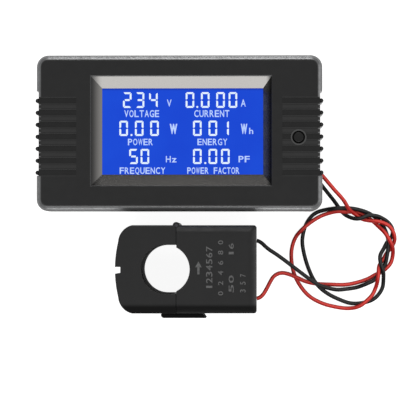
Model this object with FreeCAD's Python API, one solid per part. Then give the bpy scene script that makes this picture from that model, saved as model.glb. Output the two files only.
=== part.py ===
# Digital power meter with its split-core current clamp, in millimetres.
# The meter lies on its back with the screen up, and the clamp and its leads lie beside it.
# The origin is the middle of the meter's back face, +Z is out of the screen, and +X runs along
# the long side towards the lead terminals.

import FreeCAD, Part
import math
import os

# Meter shells
METER_LENGTH = 89.6
METER_WIDTH = 48.9
METER_DEPTH = 24.4
METER_CORNER = 3.7
FACE_EDGE = 1.9
FRONT_WALL = 2.2
FACE_WALL = 2.0
PARTING_Z = 11.0
REAR_INSET = 0.9
REAR_WALL = 1.8
BACK_WALL = 2.0
BACK_EDGE = 0.8
TONGUE_HEIGHT = 1.5
TONGUE_WALL = 1.1
SHELL_GAP = 0.1

# Grips on the two short sides
GRIP_LOW_Y = -13.35
GRIP_HIGH_Y = 13.25
GRIP_INSET = 0.7
GRIP_FACE_LENGTH = 12.5
RIB_COUNT = 7
RIB_PITCH = 3.76
RIB_MIDDLE_Y = -1.11
RIB_RADIUS = 0.7
RIB_PROUD = 1.05
RIB_TOP_DROP = 1.2
GROOVE_WIDTH = 1.9
GROOVE_DEPTH = 0.35

# Screen recess and display stack
SCREEN_WIDTH = 50.55
SCREEN_HEIGHT = 27.1
SCREEN_X = 0.98
SCREEN_Y = 0.61
RECESS_DEPTH = 2.9
RECESS_LEFT = 3.6
RECESS_RIGHT = 2.8
RECESS_TOP = 3.9
RECESS_BOTTOM = 3.7
RECESS_LIP = 0.6
FRAME_MARGIN = 4.6
POLARISER = 0.2
LCD_GLASS = 0.7
GLASS_MARGIN = 1.5
CONTACT_LEDGE = 2.6
STRIP_WIDTH = 1.4
LIGHT_GUIDE = 3.0
TRAY_FLOOR = 1.5
TRAY_WALL = 1.2
LED_SIZE = 1.4
LED_COUNT = 2

# Main board and its parts
BOARD_THICKNESS = 1.6
BOARD_EDGE_GAP = 1.6
BOARD_NOTCH_GAP = 0.4
TALL_PART_ROOM = 1.2
CHIP_LEG = 0.25
CHIP_LEG_REACH = 1.0
CONTROLLER_X = -14.0
CONTROLLER_Y = -7.0
CONTROLLER_LENGTH = 10.0
CONTROLLER_WIDTH = 8.0
CONTROLLER_HEIGHT = 1.4
CONTROLLER_LEGS = 11
METERING_X = 8.0
METERING_Y = 9.0
METERING_LENGTH = 10.0
METERING_WIDTH = 4.0
METERING_HEIGHT = 1.6
METERING_LEGS = 8
CRYSTAL_X = -6.5
CRYSTAL_Y = 4.7
CRYSTAL_LENGTH = 11.0
CRYSTAL_WIDTH = 4.6
CRYSTAL_HEIGHT = 3.5
STORAGE_FROM_END = 7.8
STORAGE_LENGTH = 13.0
STORAGE_Y = 10.0
FILM_X = 14.5
FILM_Y = -13.0
FILM_LENGTH = 13.0
FILM_WIDTH = 6.0
FUSE_X = 13.0
FUSE_Y = -4.0
FUSE_LENGTH = 10.0
FUSE_RADIUS = 1.8
SURGE_X = 23.0
SURGE_Y = 12.0
SURGE_RADIUS = 4.5
SURGE_THICKNESS = 3.5
RESISTOR_ROWS = 3
RESISTOR_COLUMNS = 4
RESISTOR_TO_CONTROLLER = 3.0
RESISTOR_FIRST_Y = -16.0
RESISTOR_PITCH_X = 4.0
RESISTOR_PITCH_Y = 3.0
RESISTOR_LENGTH = 2.0
RESISTOR_WIDTH = 1.25
RESISTOR_HEIGHT = 0.55

# Screws and bosses
CASE_SCREW_FROM_END = 5.4
CASE_SCREW_FROM_SIDE = 5.05
CASE_BOSS = 2.6
CASE_SCREW = 1.2
CASE_HEAD = 2.1
CASE_HEAD_HEIGHT = 1.8
CASE_SCREW_LENGTH = 17.0
BOARD_SCREW_FROM_END = 10.9
BOARD_SCREW_FROM_SIDE = 5.15
BOARD_BOSS = 1.8
BOARD_SCREW = 0.9
BOARD_HEAD = 1.6
BOARD_HEAD_HEIGHT = 1.5
BOARD_SCREW_LENGTH = 6.0
THREAD_GAP = 0.04

# Button and its push switch
BUTTON_FROM_END = 7.47
BUTTON_Y = -1.34
BUTTON_RADIUS = 1.6
BUTTON_HOLE = 2.0
BUTTON_RING = 2.45
BUTTON_RING_HEIGHT = 0.15
BUTTON_PROUD = 0.2
BUTTON_DOME = 0.3
SKIRT_RADIUS = 2.5
SKIRT_HEIGHT = 2.75
GUIDE_WALL = 1.0
GUIDE_HEIGHT = 2.2
SLIDE_GAP = 0.05
SWITCH_SIZE = 6.0
SWITCH_HEIGHT = 3.6
PLUNGER_RADIUS = 1.5
PLUNGER_DEPTH = 1.5
SWITCH_WELL = 2.5

# Terminal block under the right-hand edge
TERMINAL_COUNT = 4
TERMINAL_PITCH = 5.08
TERMINAL_FIRST_Y = -12.98
BLOCK_FROM_END = 7.8
BLOCK_DEPTH = 8.0
BLOCK_HEIGHT = 10.0
ENTRY_RADIUS = 1.5
ENTRY_BELOW_BOARD = 4.0
CAGE_WIDTH = 3.6
CAGE_DEPTH = 4.5
CAGE_OPENING = 2.6
CAGE_OPENING_HEIGHT = 2.1
CAGE_FLOOR = 1.2
CAGE_GAP = 0.1
CLAMP_SCREW = 1.17
CLAMP_SCREW_HEAD = 1.8
CLAMP_SCREW_HEAD_HEIGHT = 1.8
CLAMP_SCREW_LENGTH = 4.3
SLOT_WIDTH = 0.5
SLOT_DEPTH = 0.6
POCKET_LOW_Y = -16.6
POCKET_HIGH_Y = 7.0
POCKET_WALL = 1.0
POCKET_ROOF = 1.1

# Current clamp, placed by the middle of its split
CLAMP_X = -0.8
CLAMP_Y = -42.6
CLAMP_DEPTH = 31.0
CLAMP_WIDTH = 27.4
CAP_LENGTH = 19.0
BASE_LENGTH = 25.0
CAP_CORNER_RUN = 5.3
CAP_BULGE = 1.0
CAP_BULGE_HALF = 8.6
CAP_CORNER_RISE = 1.1
CAP_EDGE = 0.5
BASE_EDGE = 2.6
BASE_CORNER = 0.9
SPLIT_GAP = 0.16
NOTCH_WIDTH = 2.1
NOTCH_DEPTH = 1.7
NOTCH_OFFSET = -0.3
WINDOW_RADIUS = 7.6
WINDOW_OFFSET = 3.4
WINDOW_WALL = 1.2
CLAMP_WALL = 1.5
CLAMP_PLATE = 1.5
CORE_LEG = 2.8
CORE_BACK = 3.6
CORE_GAP = 0.1
CORE_FACE_GAP = 0.05
CAP_CORE_BACK_U = -15.6
CAP_CORE_CORNER = 4.0
BASE_CORE_BACK_U = 16.6
SPRING_SPACE = 0.8
SPRING_STRIP = 0.3
BOBBIN_TUBE = 0.8
BOBBIN_FLANGE = 1.0
WINDING_THICKNESS = 2.6
WINDING_GAP = 0.5

# Hinge and latch of the clamp
HINGE_V = 13.6
KNUCKLE_RADIUS = 1.1
KNUCKLE_CLEARANCE = 0.25
KNUCKLE_END = 1.0
KNUCKLE_GAP = 0.2
PIN_RADIUS = 0.5
LATCH_LOW_Z = 6.0
LATCH_HIGH_Z = 25.0
LATCH_START_U = -4.9
LATCH_END_U = 9.15
LATCH_HOOK_U = 8.0
LATCH_HOOK_LENGTH = 0.7
LATCH_HOOK_GAP = 0.06
LATCH_BACK_GAP = 0.34
LATCH_THICKNESS = 1.2
LATCH_CORNER = 1.0
LATCH_BEAD = 0.8
LATCH_BEAD_U = -3.9
LATCH_NECK = 0.9
CATCH_LOW_U = 6.2
CATCH_LENGTH = 0.8
CATCH_HEIGHT = 0.27

# Leads
LEAD_RADIUS = 0.65
LEAD_HOLE_GAP = 0.05
LEAD_EXIT_Z = 8.0
BLACK_EXIT_V = 9.0
RED_EXIT_V = -9.5
TINNED_RADIUS = 0.5
TINNED_LENGTH = 4.8
LEAD_INSIDE = 0.4

# Route of each lead, from its terminal in the meter to the end face of the clamp
BLACK_ROUTE = [
    (36.6, -12.98, 9.2), (42.6, -12.98, 9.2), (45.7, -16.8, 6.7), (47.8, -19.55, 3.0),
    (49.5, -21.8, 0.9), (52.0, -24.6, 0.65), (54.8, -26.6, 1.8), (57.4, -26.9, 3.1),
    (60.0, -25.8, 2.6), (62.6, -25.4, 2.2), (64.9, -26.3, 1.1), (66.8, -27.9, 0.65),
    (67.8, -30.1, 0.65), (67.6, -32.5, 0.65), (66.5, -34.4, 0.65), (65.2, -36.2, 1.1),
    (64.5, -38.5, 2.5), (64.7, -41.0, 2.8), (65.3, -43.6, 2.6), (65.5, -46.3, 1.2),
    (64.7, -49.2, 0.65), (62.5, -51.9, 0.65), (59.2, -53.2, 0.65), (55.0, -53.6, 0.65),
    (50.9, -52.3, 0.65), (47.4, -50.7, 1.0), (44.7, -48.7, 2.3), (42.7, -45.9, 2.2),
    (41.0, -42.4, 0.8), (39.4, -38.4, 0.65), (38.8, -34.4, 0.65), (39.3, -30.5, 0.65),
    (40.6, -27.2, 0.65), (43.2, -24.5, 0.7), (46.6, -22.8, 1.7), (50.0, -22.1, 2.8),
    (53.2, -22.3, 2.1), (56.6, -23.0, 0.8), (59.8, -24.2, 0.65), (62.8, -26.1, 0.65),
    (64.7, -28.7, 0.75), (65.8, -31.1, 1.6), (66.4, -33.8, 2.4), (66.3, -36.5, 2.5),
    (66.2, -38.8, 1.8), (65.1, -41.2, 0.75), (63.5, -43.5, 0.7), (61.7, -45.4, 2.0),
    (59.8, -47.1, 2.3), (56.6, -48.4, 1.0), (53.0, -49.2, 0.65), (49.6, -49.3, 1.3),
    (46.3, -48.7, 3.1), (43.0, -47.3, 4.4), (37.4, -43.1, 5.7), (31.2, -37.8, 7.2),
    (27.0, -33.6, 8.0), (24.25, -33.6, 8.0)]
RED_ROUTE = [
    (36.6, -7.9, 9.2), (41.8, -7.9, 9.2), (45.6, -12.6, 8.7), (49.3, -17.25, 7.4),
    (52.0, -20.8, 5.8), (54.0, -23.6, 4.2), (55.9, -25.2, 2.3), (58.1, -26.4, 1.2),
    (60.2, -27.2, 1.9), (62.6, -27.5, 2.6), (65.0, -27.8, 2.4), (67.1, -28.9, 2.4),
    (68.4, -31.0, 2.4), (68.6, -33.5, 1.5), (67.7, -35.8, 0.75), (65.9, -37.7, 0.65),
    (64.3, -39.6, 0.8), (63.3, -41.6, 2.0), (62.9, -43.9, 3.0), (63.0, -46.4, 2.7),
    (62.6, -48.7, 1.6), (61.6, -50.8, 1.6), (59.9, -52.9, 2.4), (57.2, -54.4, 2.1),
    (53.6, -55.3, 0.9), (49.6, -55.1, 0.65), (45.4, -53.7, 0.65), (41.4, -51.3, 0.65),
    (38.3, -48.1, 0.65), (36.2, -44.3, 0.65), (35.3, -40.4, 0.65), (35.5, -36.3, 0.65),
    (36.7, -32.5, 1.0), (38.8, -29.6, 2.3), (41.3, -27.7, 2.1), (44.6, -25.9, 1.0),
    (47.6, -24.8, 1.3), (50.4, -24.3, 2.2), (53.3, -24.2, 2.1), (56.3, -24.4, 0.9),
    (59.0, -25.3, 0.65), (61.3, -27.0, 0.65), (63.4, -28.9, 1.7), (65.2, -30.7, 3.4),
    (66.8, -33.0, 4.0), (67.9, -35.5, 2.9), (68.1, -38.1, 1.2), (67.5, -40.6, 0.65),
    (66.3, -42.8, 0.65), (64.7, -44.7, 0.65), (62.7, -46.0, 0.65), (60.2, -46.5, 0.65),
    (56.6, -47.0, 0.65), (52.4, -47.6, 0.65), (48.0, -47.8, 0.65), (44.0, -47.5, 0.65),
    (40.4, -46.9, 1.2), (37.4, -45.7, 2.4), (34.6, -44.4, 2.4), (32.1, -44.2, 2.8),
    (30.3, -45.3, 3.8), (29.2, -47.1, 5.1), (29.0, -48.7, 6.3), (28.4, -50.2, 7.2),
    (26.9, -51.7, 7.9), (24.25, -52.1, 8.0)]

# Heights that follow from the depths above
FACE_INNER_Z = METER_DEPTH - FACE_WALL
WINDOW_Z = METER_DEPTH - RECESS_DEPTH
STACK_TOP = WINDOW_Z - RECESS_LIP
FRONT_GLASS_TOP = STACK_TOP - POLARISER
REAR_GLASS_TOP = FRONT_GLASS_TOP - LCD_GLASS
GUIDE_TOP = REAR_GLASS_TOP - LCD_GLASS
TRAY_TOP_OF_FLOOR = GUIDE_TOP - LIGHT_GUIDE
BOARD_TOP = TRAY_TOP_OF_FLOOR - TRAY_FLOOR
BOARD_BOTTOM = BOARD_TOP - BOARD_THICKNESS
ENTRY_Z = BOARD_BOTTOM - ENTRY_BELOW_BOARD
SKIRT_BOTTOM = FACE_INNER_Z - SLIDE_GAP - SKIRT_HEIGHT

# Plan limits of the screen, the glass and the shells
SCREEN = (SCREEN_X - SCREEN_WIDTH / 2, SCREEN_X + SCREEN_WIDTH / 2,
          SCREEN_Y - SCREEN_HEIGHT / 2, SCREEN_Y + SCREEN_HEIGHT / 2)
HALF_LENGTH = METER_LENGTH / 2
HALF_WIDTH = METER_WIDTH / 2
CASE_SCREW_X = HALF_LENGTH - CASE_SCREW_FROM_END
CASE_SCREW_Y = HALF_WIDTH - CASE_SCREW_FROM_SIDE
BOARD_SCREW_X = HALF_LENGTH - BOARD_SCREW_FROM_END
BOARD_SCREW_Y = HALF_WIDTH - BOARD_SCREW_FROM_SIDE
BUTTON_X = HALF_LENGTH - BUTTON_FROM_END
BLOCK_FACE_X = HALF_LENGTH - BLOCK_FROM_END
CORNERS = [(-1, -1), (-1, 1), (1, -1), (1, 1)]

parts = {}


def vector(x, y, z):
    return FreeCAD.Vector(x, y, z)


def box(x_low, x_high, y_low, y_high, z_low, z_high):
    return Part.makeBox(x_high - x_low, y_high - y_low, z_high - z_low, vector(x_low, y_low, z_low))


def post(x, y, radius, z_low, z_high):
    return Part.makeCylinder(radius, z_high - z_low, vector(x, y, z_low))


def rod_along_x(x_low, x_high, y, z, radius):
    return Part.makeCylinder(radius, x_high - x_low, vector(x_low, y, z), vector(1, 0, 0))


def fuse_all(shapes):
    joined = shapes[0]
    for shape in shapes[1:]:
        joined = joined.fuse(shape)
    return joined.removeSplitter()


def grown(limits, margin):
    return (limits[0] - margin, limits[1] + margin, limits[2] - margin, limits[3] + margin)


def rounded_block(limits, radius, z_low, z_high):
    """A block with the plan limits (x low, x high, y low, y high) and round upright corners."""
    block = box(*limits, z_low, z_high)
    upright = [edge for edge in block.Edges if edge.BoundBox.ZLength > (z_high - z_low) / 2]
    return block.makeFillet(radius, upright)


def edges_at_height(shape, z):
    flat = []
    for edge in shape.Edges:
        limits = edge.BoundBox
        if abs(limits.ZMin - z) < 1e-4 and abs(limits.ZMax - z) < 1e-4:
            flat.append(edge)
    return flat


def arc_through(start, end, rise):
    """An arc from start to end whose middle stands off the chord, to the left of its direction."""
    chord = end.sub(start)
    middle = start.add(end).multiply(0.5)
    sideways = vector(-chord.y, chord.x, 0).multiply(rise / chord.Length)
    return Part.Arc(start, middle.add(sideways), end).toShape()


def rib_heights():
    first = RIB_MIDDLE_Y - RIB_PITCH * (RIB_COUNT - 1) / 2
    return [first + RIB_PITCH * index for index in range(RIB_COUNT)]


# Front shell


def grip(shell, side):
    """Insets one short side, cuts the face grooves and adds the ribs."""
    wall_x = side * (HALF_LENGTH - GRIP_INSET)
    beyond = side * (HALF_LENGTH + 1)
    low, high = sorted((wall_x, beyond))
    shell = shell.cut(box(low, high, GRIP_LOW_Y, GRIP_HIGH_Y, 0, METER_DEPTH + 1))
    groove_end = side * (HALF_LENGTH - GRIP_FACE_LENGTH)
    low, high = sorted((groove_end, beyond))
    grooves = []
    ribs = []
    rib_x = wall_x + side * (RIB_PROUD - RIB_RADIUS)
    rib_top = METER_DEPTH - RIB_TOP_DROP
    for y in rib_heights():
        grooves.append(box(low, high, y - GROOVE_WIDTH / 2, y + GROOVE_WIDTH / 2,
                           METER_DEPTH - GROOVE_DEPTH, METER_DEPTH + 1))
        ribs.append(post(rib_x, y, RIB_RADIUS, PARTING_Z, rib_top))
        ribs.append(Part.makeSphere(RIB_RADIUS, vector(rib_x, y, rib_top)))
    shell = shell.cut(Part.makeCompound(grooves))
    return shell.fuse(ribs)


def recess_cutter():
    """The sloped recess round the screen and the upright lip below it."""
    extra = 1.0
    grow = 1 + extra / RECESS_DEPTH
    outer = (SCREEN[0] - RECESS_LEFT * grow, SCREEN[1] + RECESS_RIGHT * grow,
             SCREEN[2] - RECESS_BOTTOM * grow, SCREEN[3] + RECESS_TOP * grow)
    wires = []
    for limits, z in ((SCREEN, WINDOW_Z), (outer, METER_DEPTH + extra)):
        corners = [vector(limits[0], limits[2], z), vector(limits[1], limits[2], z),
                   vector(limits[1], limits[3], z), vector(limits[0], limits[3], z)]
        wires.append(Part.makePolygon(corners + corners[:1]))
    slope = Part.makeLoft(wires, True, True)
    return slope.fuse(box(*SCREEN, STACK_TOP - 1, WINDOW_Z))


def front_housing():
    outline = (-HALF_LENGTH, HALF_LENGTH, -HALF_WIDTH, HALF_WIDTH)
    shell = rounded_block(outline, METER_CORNER, PARTING_Z, METER_DEPTH)
    shell = shell.makeFillet(FACE_EDGE, edges_at_height(shell, METER_DEPTH))
    for side in (-1, 1):
        shell = grip(shell, side)
    cavity = rounded_block(grown(outline, -FRONT_WALL), METER_CORNER - FRONT_WALL + 0.5,
                           PARTING_Z - 1, FACE_INNER_Z)
    shell = shell.cut(cavity)
    additions = [box(*grown(SCREEN, FRAME_MARGIN), STACK_TOP, FACE_INNER_Z)]
    holes = []
    for x_side, y_side in CORNERS:
        x = x_side * CASE_SCREW_X
        y = y_side * CASE_SCREW_Y
        additions.append(post(x, y, CASE_BOSS, PARTING_Z + 3 * SHELL_GAP, FACE_INNER_Z))
        holes.append(post(x, y, CASE_SCREW + THREAD_GAP, PARTING_Z, FACE_INNER_Z - 1))
        x = x_side * BOARD_SCREW_X
        y = y_side * BOARD_SCREW_Y
        additions.append(post(x, y, BOARD_BOSS, BOARD_TOP, FACE_INNER_Z))
        holes.append(post(x, y, BOARD_SCREW + THREAD_GAP, BOARD_TOP - 1, FACE_INNER_Z - 1))
    guide_bore = SKIRT_RADIUS + SLIDE_GAP
    additions.append(post(BUTTON_X, BUTTON_Y, guide_bore + GUIDE_WALL,
                          FACE_INNER_Z - GUIDE_HEIGHT, FACE_INNER_Z))
    additions.append(post(BUTTON_X, BUTTON_Y, BUTTON_RING, FACE_INNER_Z,
                          METER_DEPTH + BUTTON_RING_HEIGHT))
    holes.append(post(BUTTON_X, BUTTON_Y, guide_bore, FACE_INNER_Z - GUIDE_HEIGHT - 1, FACE_INNER_Z))
    holes.append(post(BUTTON_X, BUTTON_Y, BUTTON_HOLE, FACE_INNER_Z - 1, METER_DEPTH + 1))
    shell = shell.fuse(additions)
    shell = shell.cut(holes)
    return shell.cut(recess_cutter()).removeSplitter()


# Rear shell with the open terminal pocket


def rear_cover():
    outline = grown((-HALF_LENGTH, HALF_LENGTH, -HALF_WIDTH, HALF_WIDTH), -REAR_INSET)
    corner = METER_CORNER - REAR_INSET
    shell = rounded_block(outline, corner, 0, PARTING_Z)
    shell = shell.makeChamfer(BACK_EDGE, edges_at_height(shell, 0))
    shell = shell.cut(rounded_block(grown(outline, -REAR_WALL), corner - 1, BACK_WALL, PARTING_Z + 1))
    tongue_outline = grown((-HALF_LENGTH, HALF_LENGTH, -HALF_WIDTH, HALF_WIDTH),
                           -FRONT_WALL - SHELL_GAP)
    tongue = rounded_block(tongue_outline, METER_CORNER - FRONT_WALL + 0.4,
                           PARTING_Z - 1, PARTING_Z + TONGUE_HEIGHT)
    tongue = tongue.cut(box(*grown(tongue_outline, -TONGUE_WALL), 0, METER_DEPTH))
    roof_top = BOARD_BOTTOM - 3 * SHELL_GAP
    pocket_left = BLOCK_FACE_X - BLOCK_DEPTH - 0.5
    pocket_right = HALF_LENGTH - FRONT_WALL - SHELL_GAP
    walls = box(pocket_left - POCKET_WALL, pocket_right, POCKET_LOW_Y - POCKET_WALL,
                POCKET_HIGH_Y + POCKET_WALL, 0, roof_top)
    additions = [tongue, walls]
    holes = []
    for x_side, y_side in CORNERS:
        x = x_side * CASE_SCREW_X
        y = y_side * CASE_SCREW_Y
        tongue_relief = post(x, y, CASE_BOSS + 0.4, PARTING_Z + 2 * SHELL_GAP, METER_DEPTH)
        additions.append(post(x, y, CASE_BOSS, 0, PARTING_Z + 2 * SHELL_GAP))
        holes.append(tongue_relief)
        holes.append(post(x, y, CASE_SCREW + 0.2, -1, METER_DEPTH))
        holes.append(post(x, y, CASE_HEAD + 0.1, -1, BACK_WALL + 0.2))
    beyond = HALF_LENGTH + 1
    roof_start = BLOCK_FACE_X + 0.3
    holes.append(box(pocket_left, beyond, POCKET_LOW_Y, POCKET_HIGH_Y, -1, PARTING_Z))
    holes.append(box(pocket_left, beyond, POCKET_LOW_Y, POCKET_HIGH_Y, 0, roof_top - POCKET_ROOF))
    holes.append(box(pocket_left, roof_start, POCKET_LOW_Y, POCKET_HIGH_Y, 0, roof_top + 1))
    shell = shell.fuse(additions)
    return shell.cut(holes).removeSplitter()


# Display stack, from the front down


def display_stack():
    glass = grown(SCREEN, GLASS_MARGIN)
    ledge = (glass[0], glass[1], glass[2] - CONTACT_LEDGE, glass[3] + CONTACT_LEDGE)
    parts["lcd_polariser"] = box(*glass, FRONT_GLASS_TOP, STACK_TOP)
    parts["lcd_front_glass"] = box(*ledge, REAR_GLASS_TOP, FRONT_GLASS_TOP)
    parts["lcd_rear_glass"] = box(*glass, GUIDE_TOP, REAR_GLASS_TOP)
    well = grown(glass, -TRAY_WALL)
    tray = box(*glass, BOARD_TOP, GUIDE_TOP)
    parts["backlight_tray"] = tray.cut(box(*well, TRAY_TOP_OF_FLOOR, GUIDE_TOP + 1))
    guide_start = well[0] + LED_SIZE
    parts["light_guide"] = box(guide_start, well[1], well[2], well[3], TRAY_TOP_OF_FLOOR, GUIDE_TOP)
    lamps = []
    for index in range(LED_COUNT):
        y = well[2] + (well[3] - well[2]) * (index + 0.5) / LED_COUNT
        lamps.append(box(well[0], guide_start, y - LED_SIZE, y + LED_SIZE,
                         TRAY_TOP_OF_FLOOR, GUIDE_TOP - 0.5))
    parts["backlight_leds"] = Part.makeCompound(lamps)
    strips = []
    for edge, inward in ((ledge[2], 1), (ledge[3], -1)):
        outer = edge + inward * 0.3
        low, high = sorted((outer, outer + inward * STRIP_WIDTH))
        strips.append(box(SCREEN[0], SCREEN[1], low, high, BOARD_TOP, REAR_GLASS_TOP))
    parts["contact_strips"] = Part.makeCompound(strips)


# Main board and what is soldered to it


def main_board():
    x = HALF_LENGTH - FRONT_WALL - BOARD_EDGE_GAP
    y = HALF_WIDTH - FRONT_WALL - BOARD_EDGE_GAP + 0.35
    board = box(-x, x, -y, y, BOARD_BOTTOM, BOARD_TOP)
    notch = CASE_BOSS + BOARD_NOTCH_GAP
    holes = []
    for x_side, y_side in CORNERS:
        x_low, x_high = sorted((x_side * (CASE_SCREW_X - notch), x_side * (x + 1)))
        y_low, y_high = sorted((y_side * (CASE_SCREW_Y - notch), y_side * (y + 1)))
        holes.append(box(x_low, x_high, y_low, y_high, 0, METER_DEPTH))
        holes.append(post(x_side * BOARD_SCREW_X, y_side * BOARD_SCREW_Y, BOARD_SCREW + 0.1,
                          0, METER_DEPTH))
    return board.cut(holes)


def chip(x, y, length, width, height, legs_per_side):
    """A flat package on the back of the board with a row of legs along each long side."""
    top = BOARD_BOTTOM - CHIP_LEG
    body = box(x - length / 2, x + length / 2, y - width / 2, y + width / 2, top - height, top)
    legs = []
    pitch = length / legs_per_side
    for index in range(legs_per_side):
        leg_x = x - length / 2 + pitch * (index + 0.5)
        legs.append(box(leg_x - pitch / 5, leg_x + pitch / 5, y - width / 2 - CHIP_LEG_REACH,
                        y + width / 2 + CHIP_LEG_REACH, top, BOARD_BOTTOM))
    return body.fuse(legs).removeSplitter()


def centred(x, y, length, width):
    return (x - length / 2, x + length / 2, y - width / 2, y + width / 2)


def board_parts():
    tall = BOARD_BOTTOM - BACK_WALL - TALL_PART_ROOM
    parts["controller_chip"] = chip(CONTROLLER_X, CONTROLLER_Y, CONTROLLER_LENGTH, CONTROLLER_WIDTH,
                                    CONTROLLER_HEIGHT, CONTROLLER_LEGS)
    parts["metering_chip"] = chip(METERING_X, METERING_Y, METERING_LENGTH, METERING_WIDTH,
                                  METERING_HEIGHT, METERING_LEGS)
    can = centred(CRYSTAL_X, CRYSTAL_Y, CRYSTAL_LENGTH, CRYSTAL_WIDTH)
    parts["crystal"] = rounded_block(can, CRYSTAL_WIDTH / 2 - SLIDE_GAP,
                                     BOARD_BOTTOM - CRYSTAL_HEIGHT, BOARD_BOTTOM)
    storage_x = STORAGE_FROM_END - HALF_LENGTH
    parts["storage_capacitor"] = rod_along_x(storage_x, storage_x + STORAGE_LENGTH, STORAGE_Y,
                                             BOARD_BOTTOM - tall / 2, tall / 2)
    parts["film_capacitor"] = rounded_block(centred(FILM_X, FILM_Y, FILM_LENGTH, FILM_WIDTH),
                                            FILM_WIDTH / 10, BOARD_BOTTOM - tall, BOARD_BOTTOM)
    parts["fuse_resistor"] = rod_along_x(FUSE_X - FUSE_LENGTH / 2, FUSE_X + FUSE_LENGTH / 2, FUSE_Y,
                                         BOARD_BOTTOM - FUSE_RADIUS, FUSE_RADIUS)
    parts["surge_disc"] = Part.makeCylinder(SURGE_RADIUS, SURGE_THICKNESS,
                                            vector(SURGE_X, SURGE_Y, BOARD_BOTTOM - SURGE_RADIUS),
                                            vector(0, 1, 0))
    resistors = []
    last_x = CONTROLLER_X - CONTROLLER_LENGTH / 2 - RESISTOR_TO_CONTROLLER - RESISTOR_LENGTH
    for row in range(RESISTOR_ROWS):
        for column in range(RESISTOR_COLUMNS):
            x = last_x - RESISTOR_PITCH_X * column
            y = RESISTOR_FIRST_Y + RESISTOR_PITCH_Y * row
            resistors.append(box(x, x + RESISTOR_LENGTH, y, y + RESISTOR_WIDTH,
                                 BOARD_BOTTOM - RESISTOR_HEIGHT, BOARD_BOTTOM))
    parts["chip_resistors"] = Part.makeCompound(resistors)


def headed_screw(x, y, head_low, head_height, head_radius, shank_radius, length):
    """A screw that points up, with a cross recess in the underside of its head."""
    head = post(x, y, head_radius, head_low, head_low + head_height)
    shank = post(x, y, shank_radius, head_low, head_low + head_height + length)
    reach = head_radius * 0.6
    half = SLOT_WIDTH / 2
    screw = head.fuse(shank).removeSplitter()
    cross = [box(x - reach, x + reach, y - half, y + half, head_low - 1, head_low + SLOT_DEPTH),
             box(x - half, x + half, y - reach, y + reach, head_low - 1, head_low + SLOT_DEPTH)]
    return screw.cut(cross)


def fixing_screws():
    case = []
    board = []
    for x_side, y_side in CORNERS:
        case.append(headed_screw(x_side * CASE_SCREW_X, y_side * CASE_SCREW_Y,
                                 BACK_WALL + 0.2 - CASE_HEAD_HEIGHT, CASE_HEAD_HEIGHT,
                                 CASE_HEAD, CASE_SCREW, CASE_SCREW_LENGTH))
        board.append(headed_screw(x_side * BOARD_SCREW_X, y_side * BOARD_SCREW_Y,
                                  BOARD_BOTTOM - BOARD_HEAD_HEIGHT, BOARD_HEAD_HEIGHT,
                                  BOARD_HEAD, BOARD_SCREW, BOARD_SCREW_LENGTH))
    parts["housing_screws"] = Part.makeCompound(case)
    parts["board_screws"] = Part.makeCompound(board)


# Button and push switch


def button():
    top = METER_DEPTH + BUTTON_PROUD
    skirt_top = FACE_INNER_Z - SLIDE_GAP
    stud = post(BUTTON_X, BUTTON_Y, BUTTON_RADIUS, SKIRT_BOTTOM, top)
    stud = stud.makeFillet(BUTTON_DOME, edges_at_height(stud, top))
    skirt = post(BUTTON_X, BUTTON_Y, SKIRT_RADIUS, SKIRT_BOTTOM, skirt_top)
    parts["button_cap"] = stud.fuse(skirt).removeSplitter()
    switch_top = BOARD_TOP + SWITCH_HEIGHT
    plunger_low = switch_top - PLUNGER_DEPTH
    parts["switch_plunger"] = post(BUTTON_X, BUTTON_Y, PLUNGER_RADIUS, plunger_low, SKIRT_BOTTOM)
    half = SWITCH_SIZE / 2
    body = rounded_block((BUTTON_X - half, BUTTON_X + half, BUTTON_Y - half, BUTTON_Y + half), 0.4,
                         BOARD_TOP, switch_top)
    well = post(BUTTON_X, BUTTON_Y, PLUNGER_RADIUS + SLIDE_GAP, switch_top - SWITCH_WELL,
                switch_top + 1)
    parts["switch_body"] = body.cut(well)


# Terminal block


def terminal_rows():
    return [TERMINAL_FIRST_Y + TERMINAL_PITCH * index for index in range(TERMINAL_COUNT)]


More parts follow.
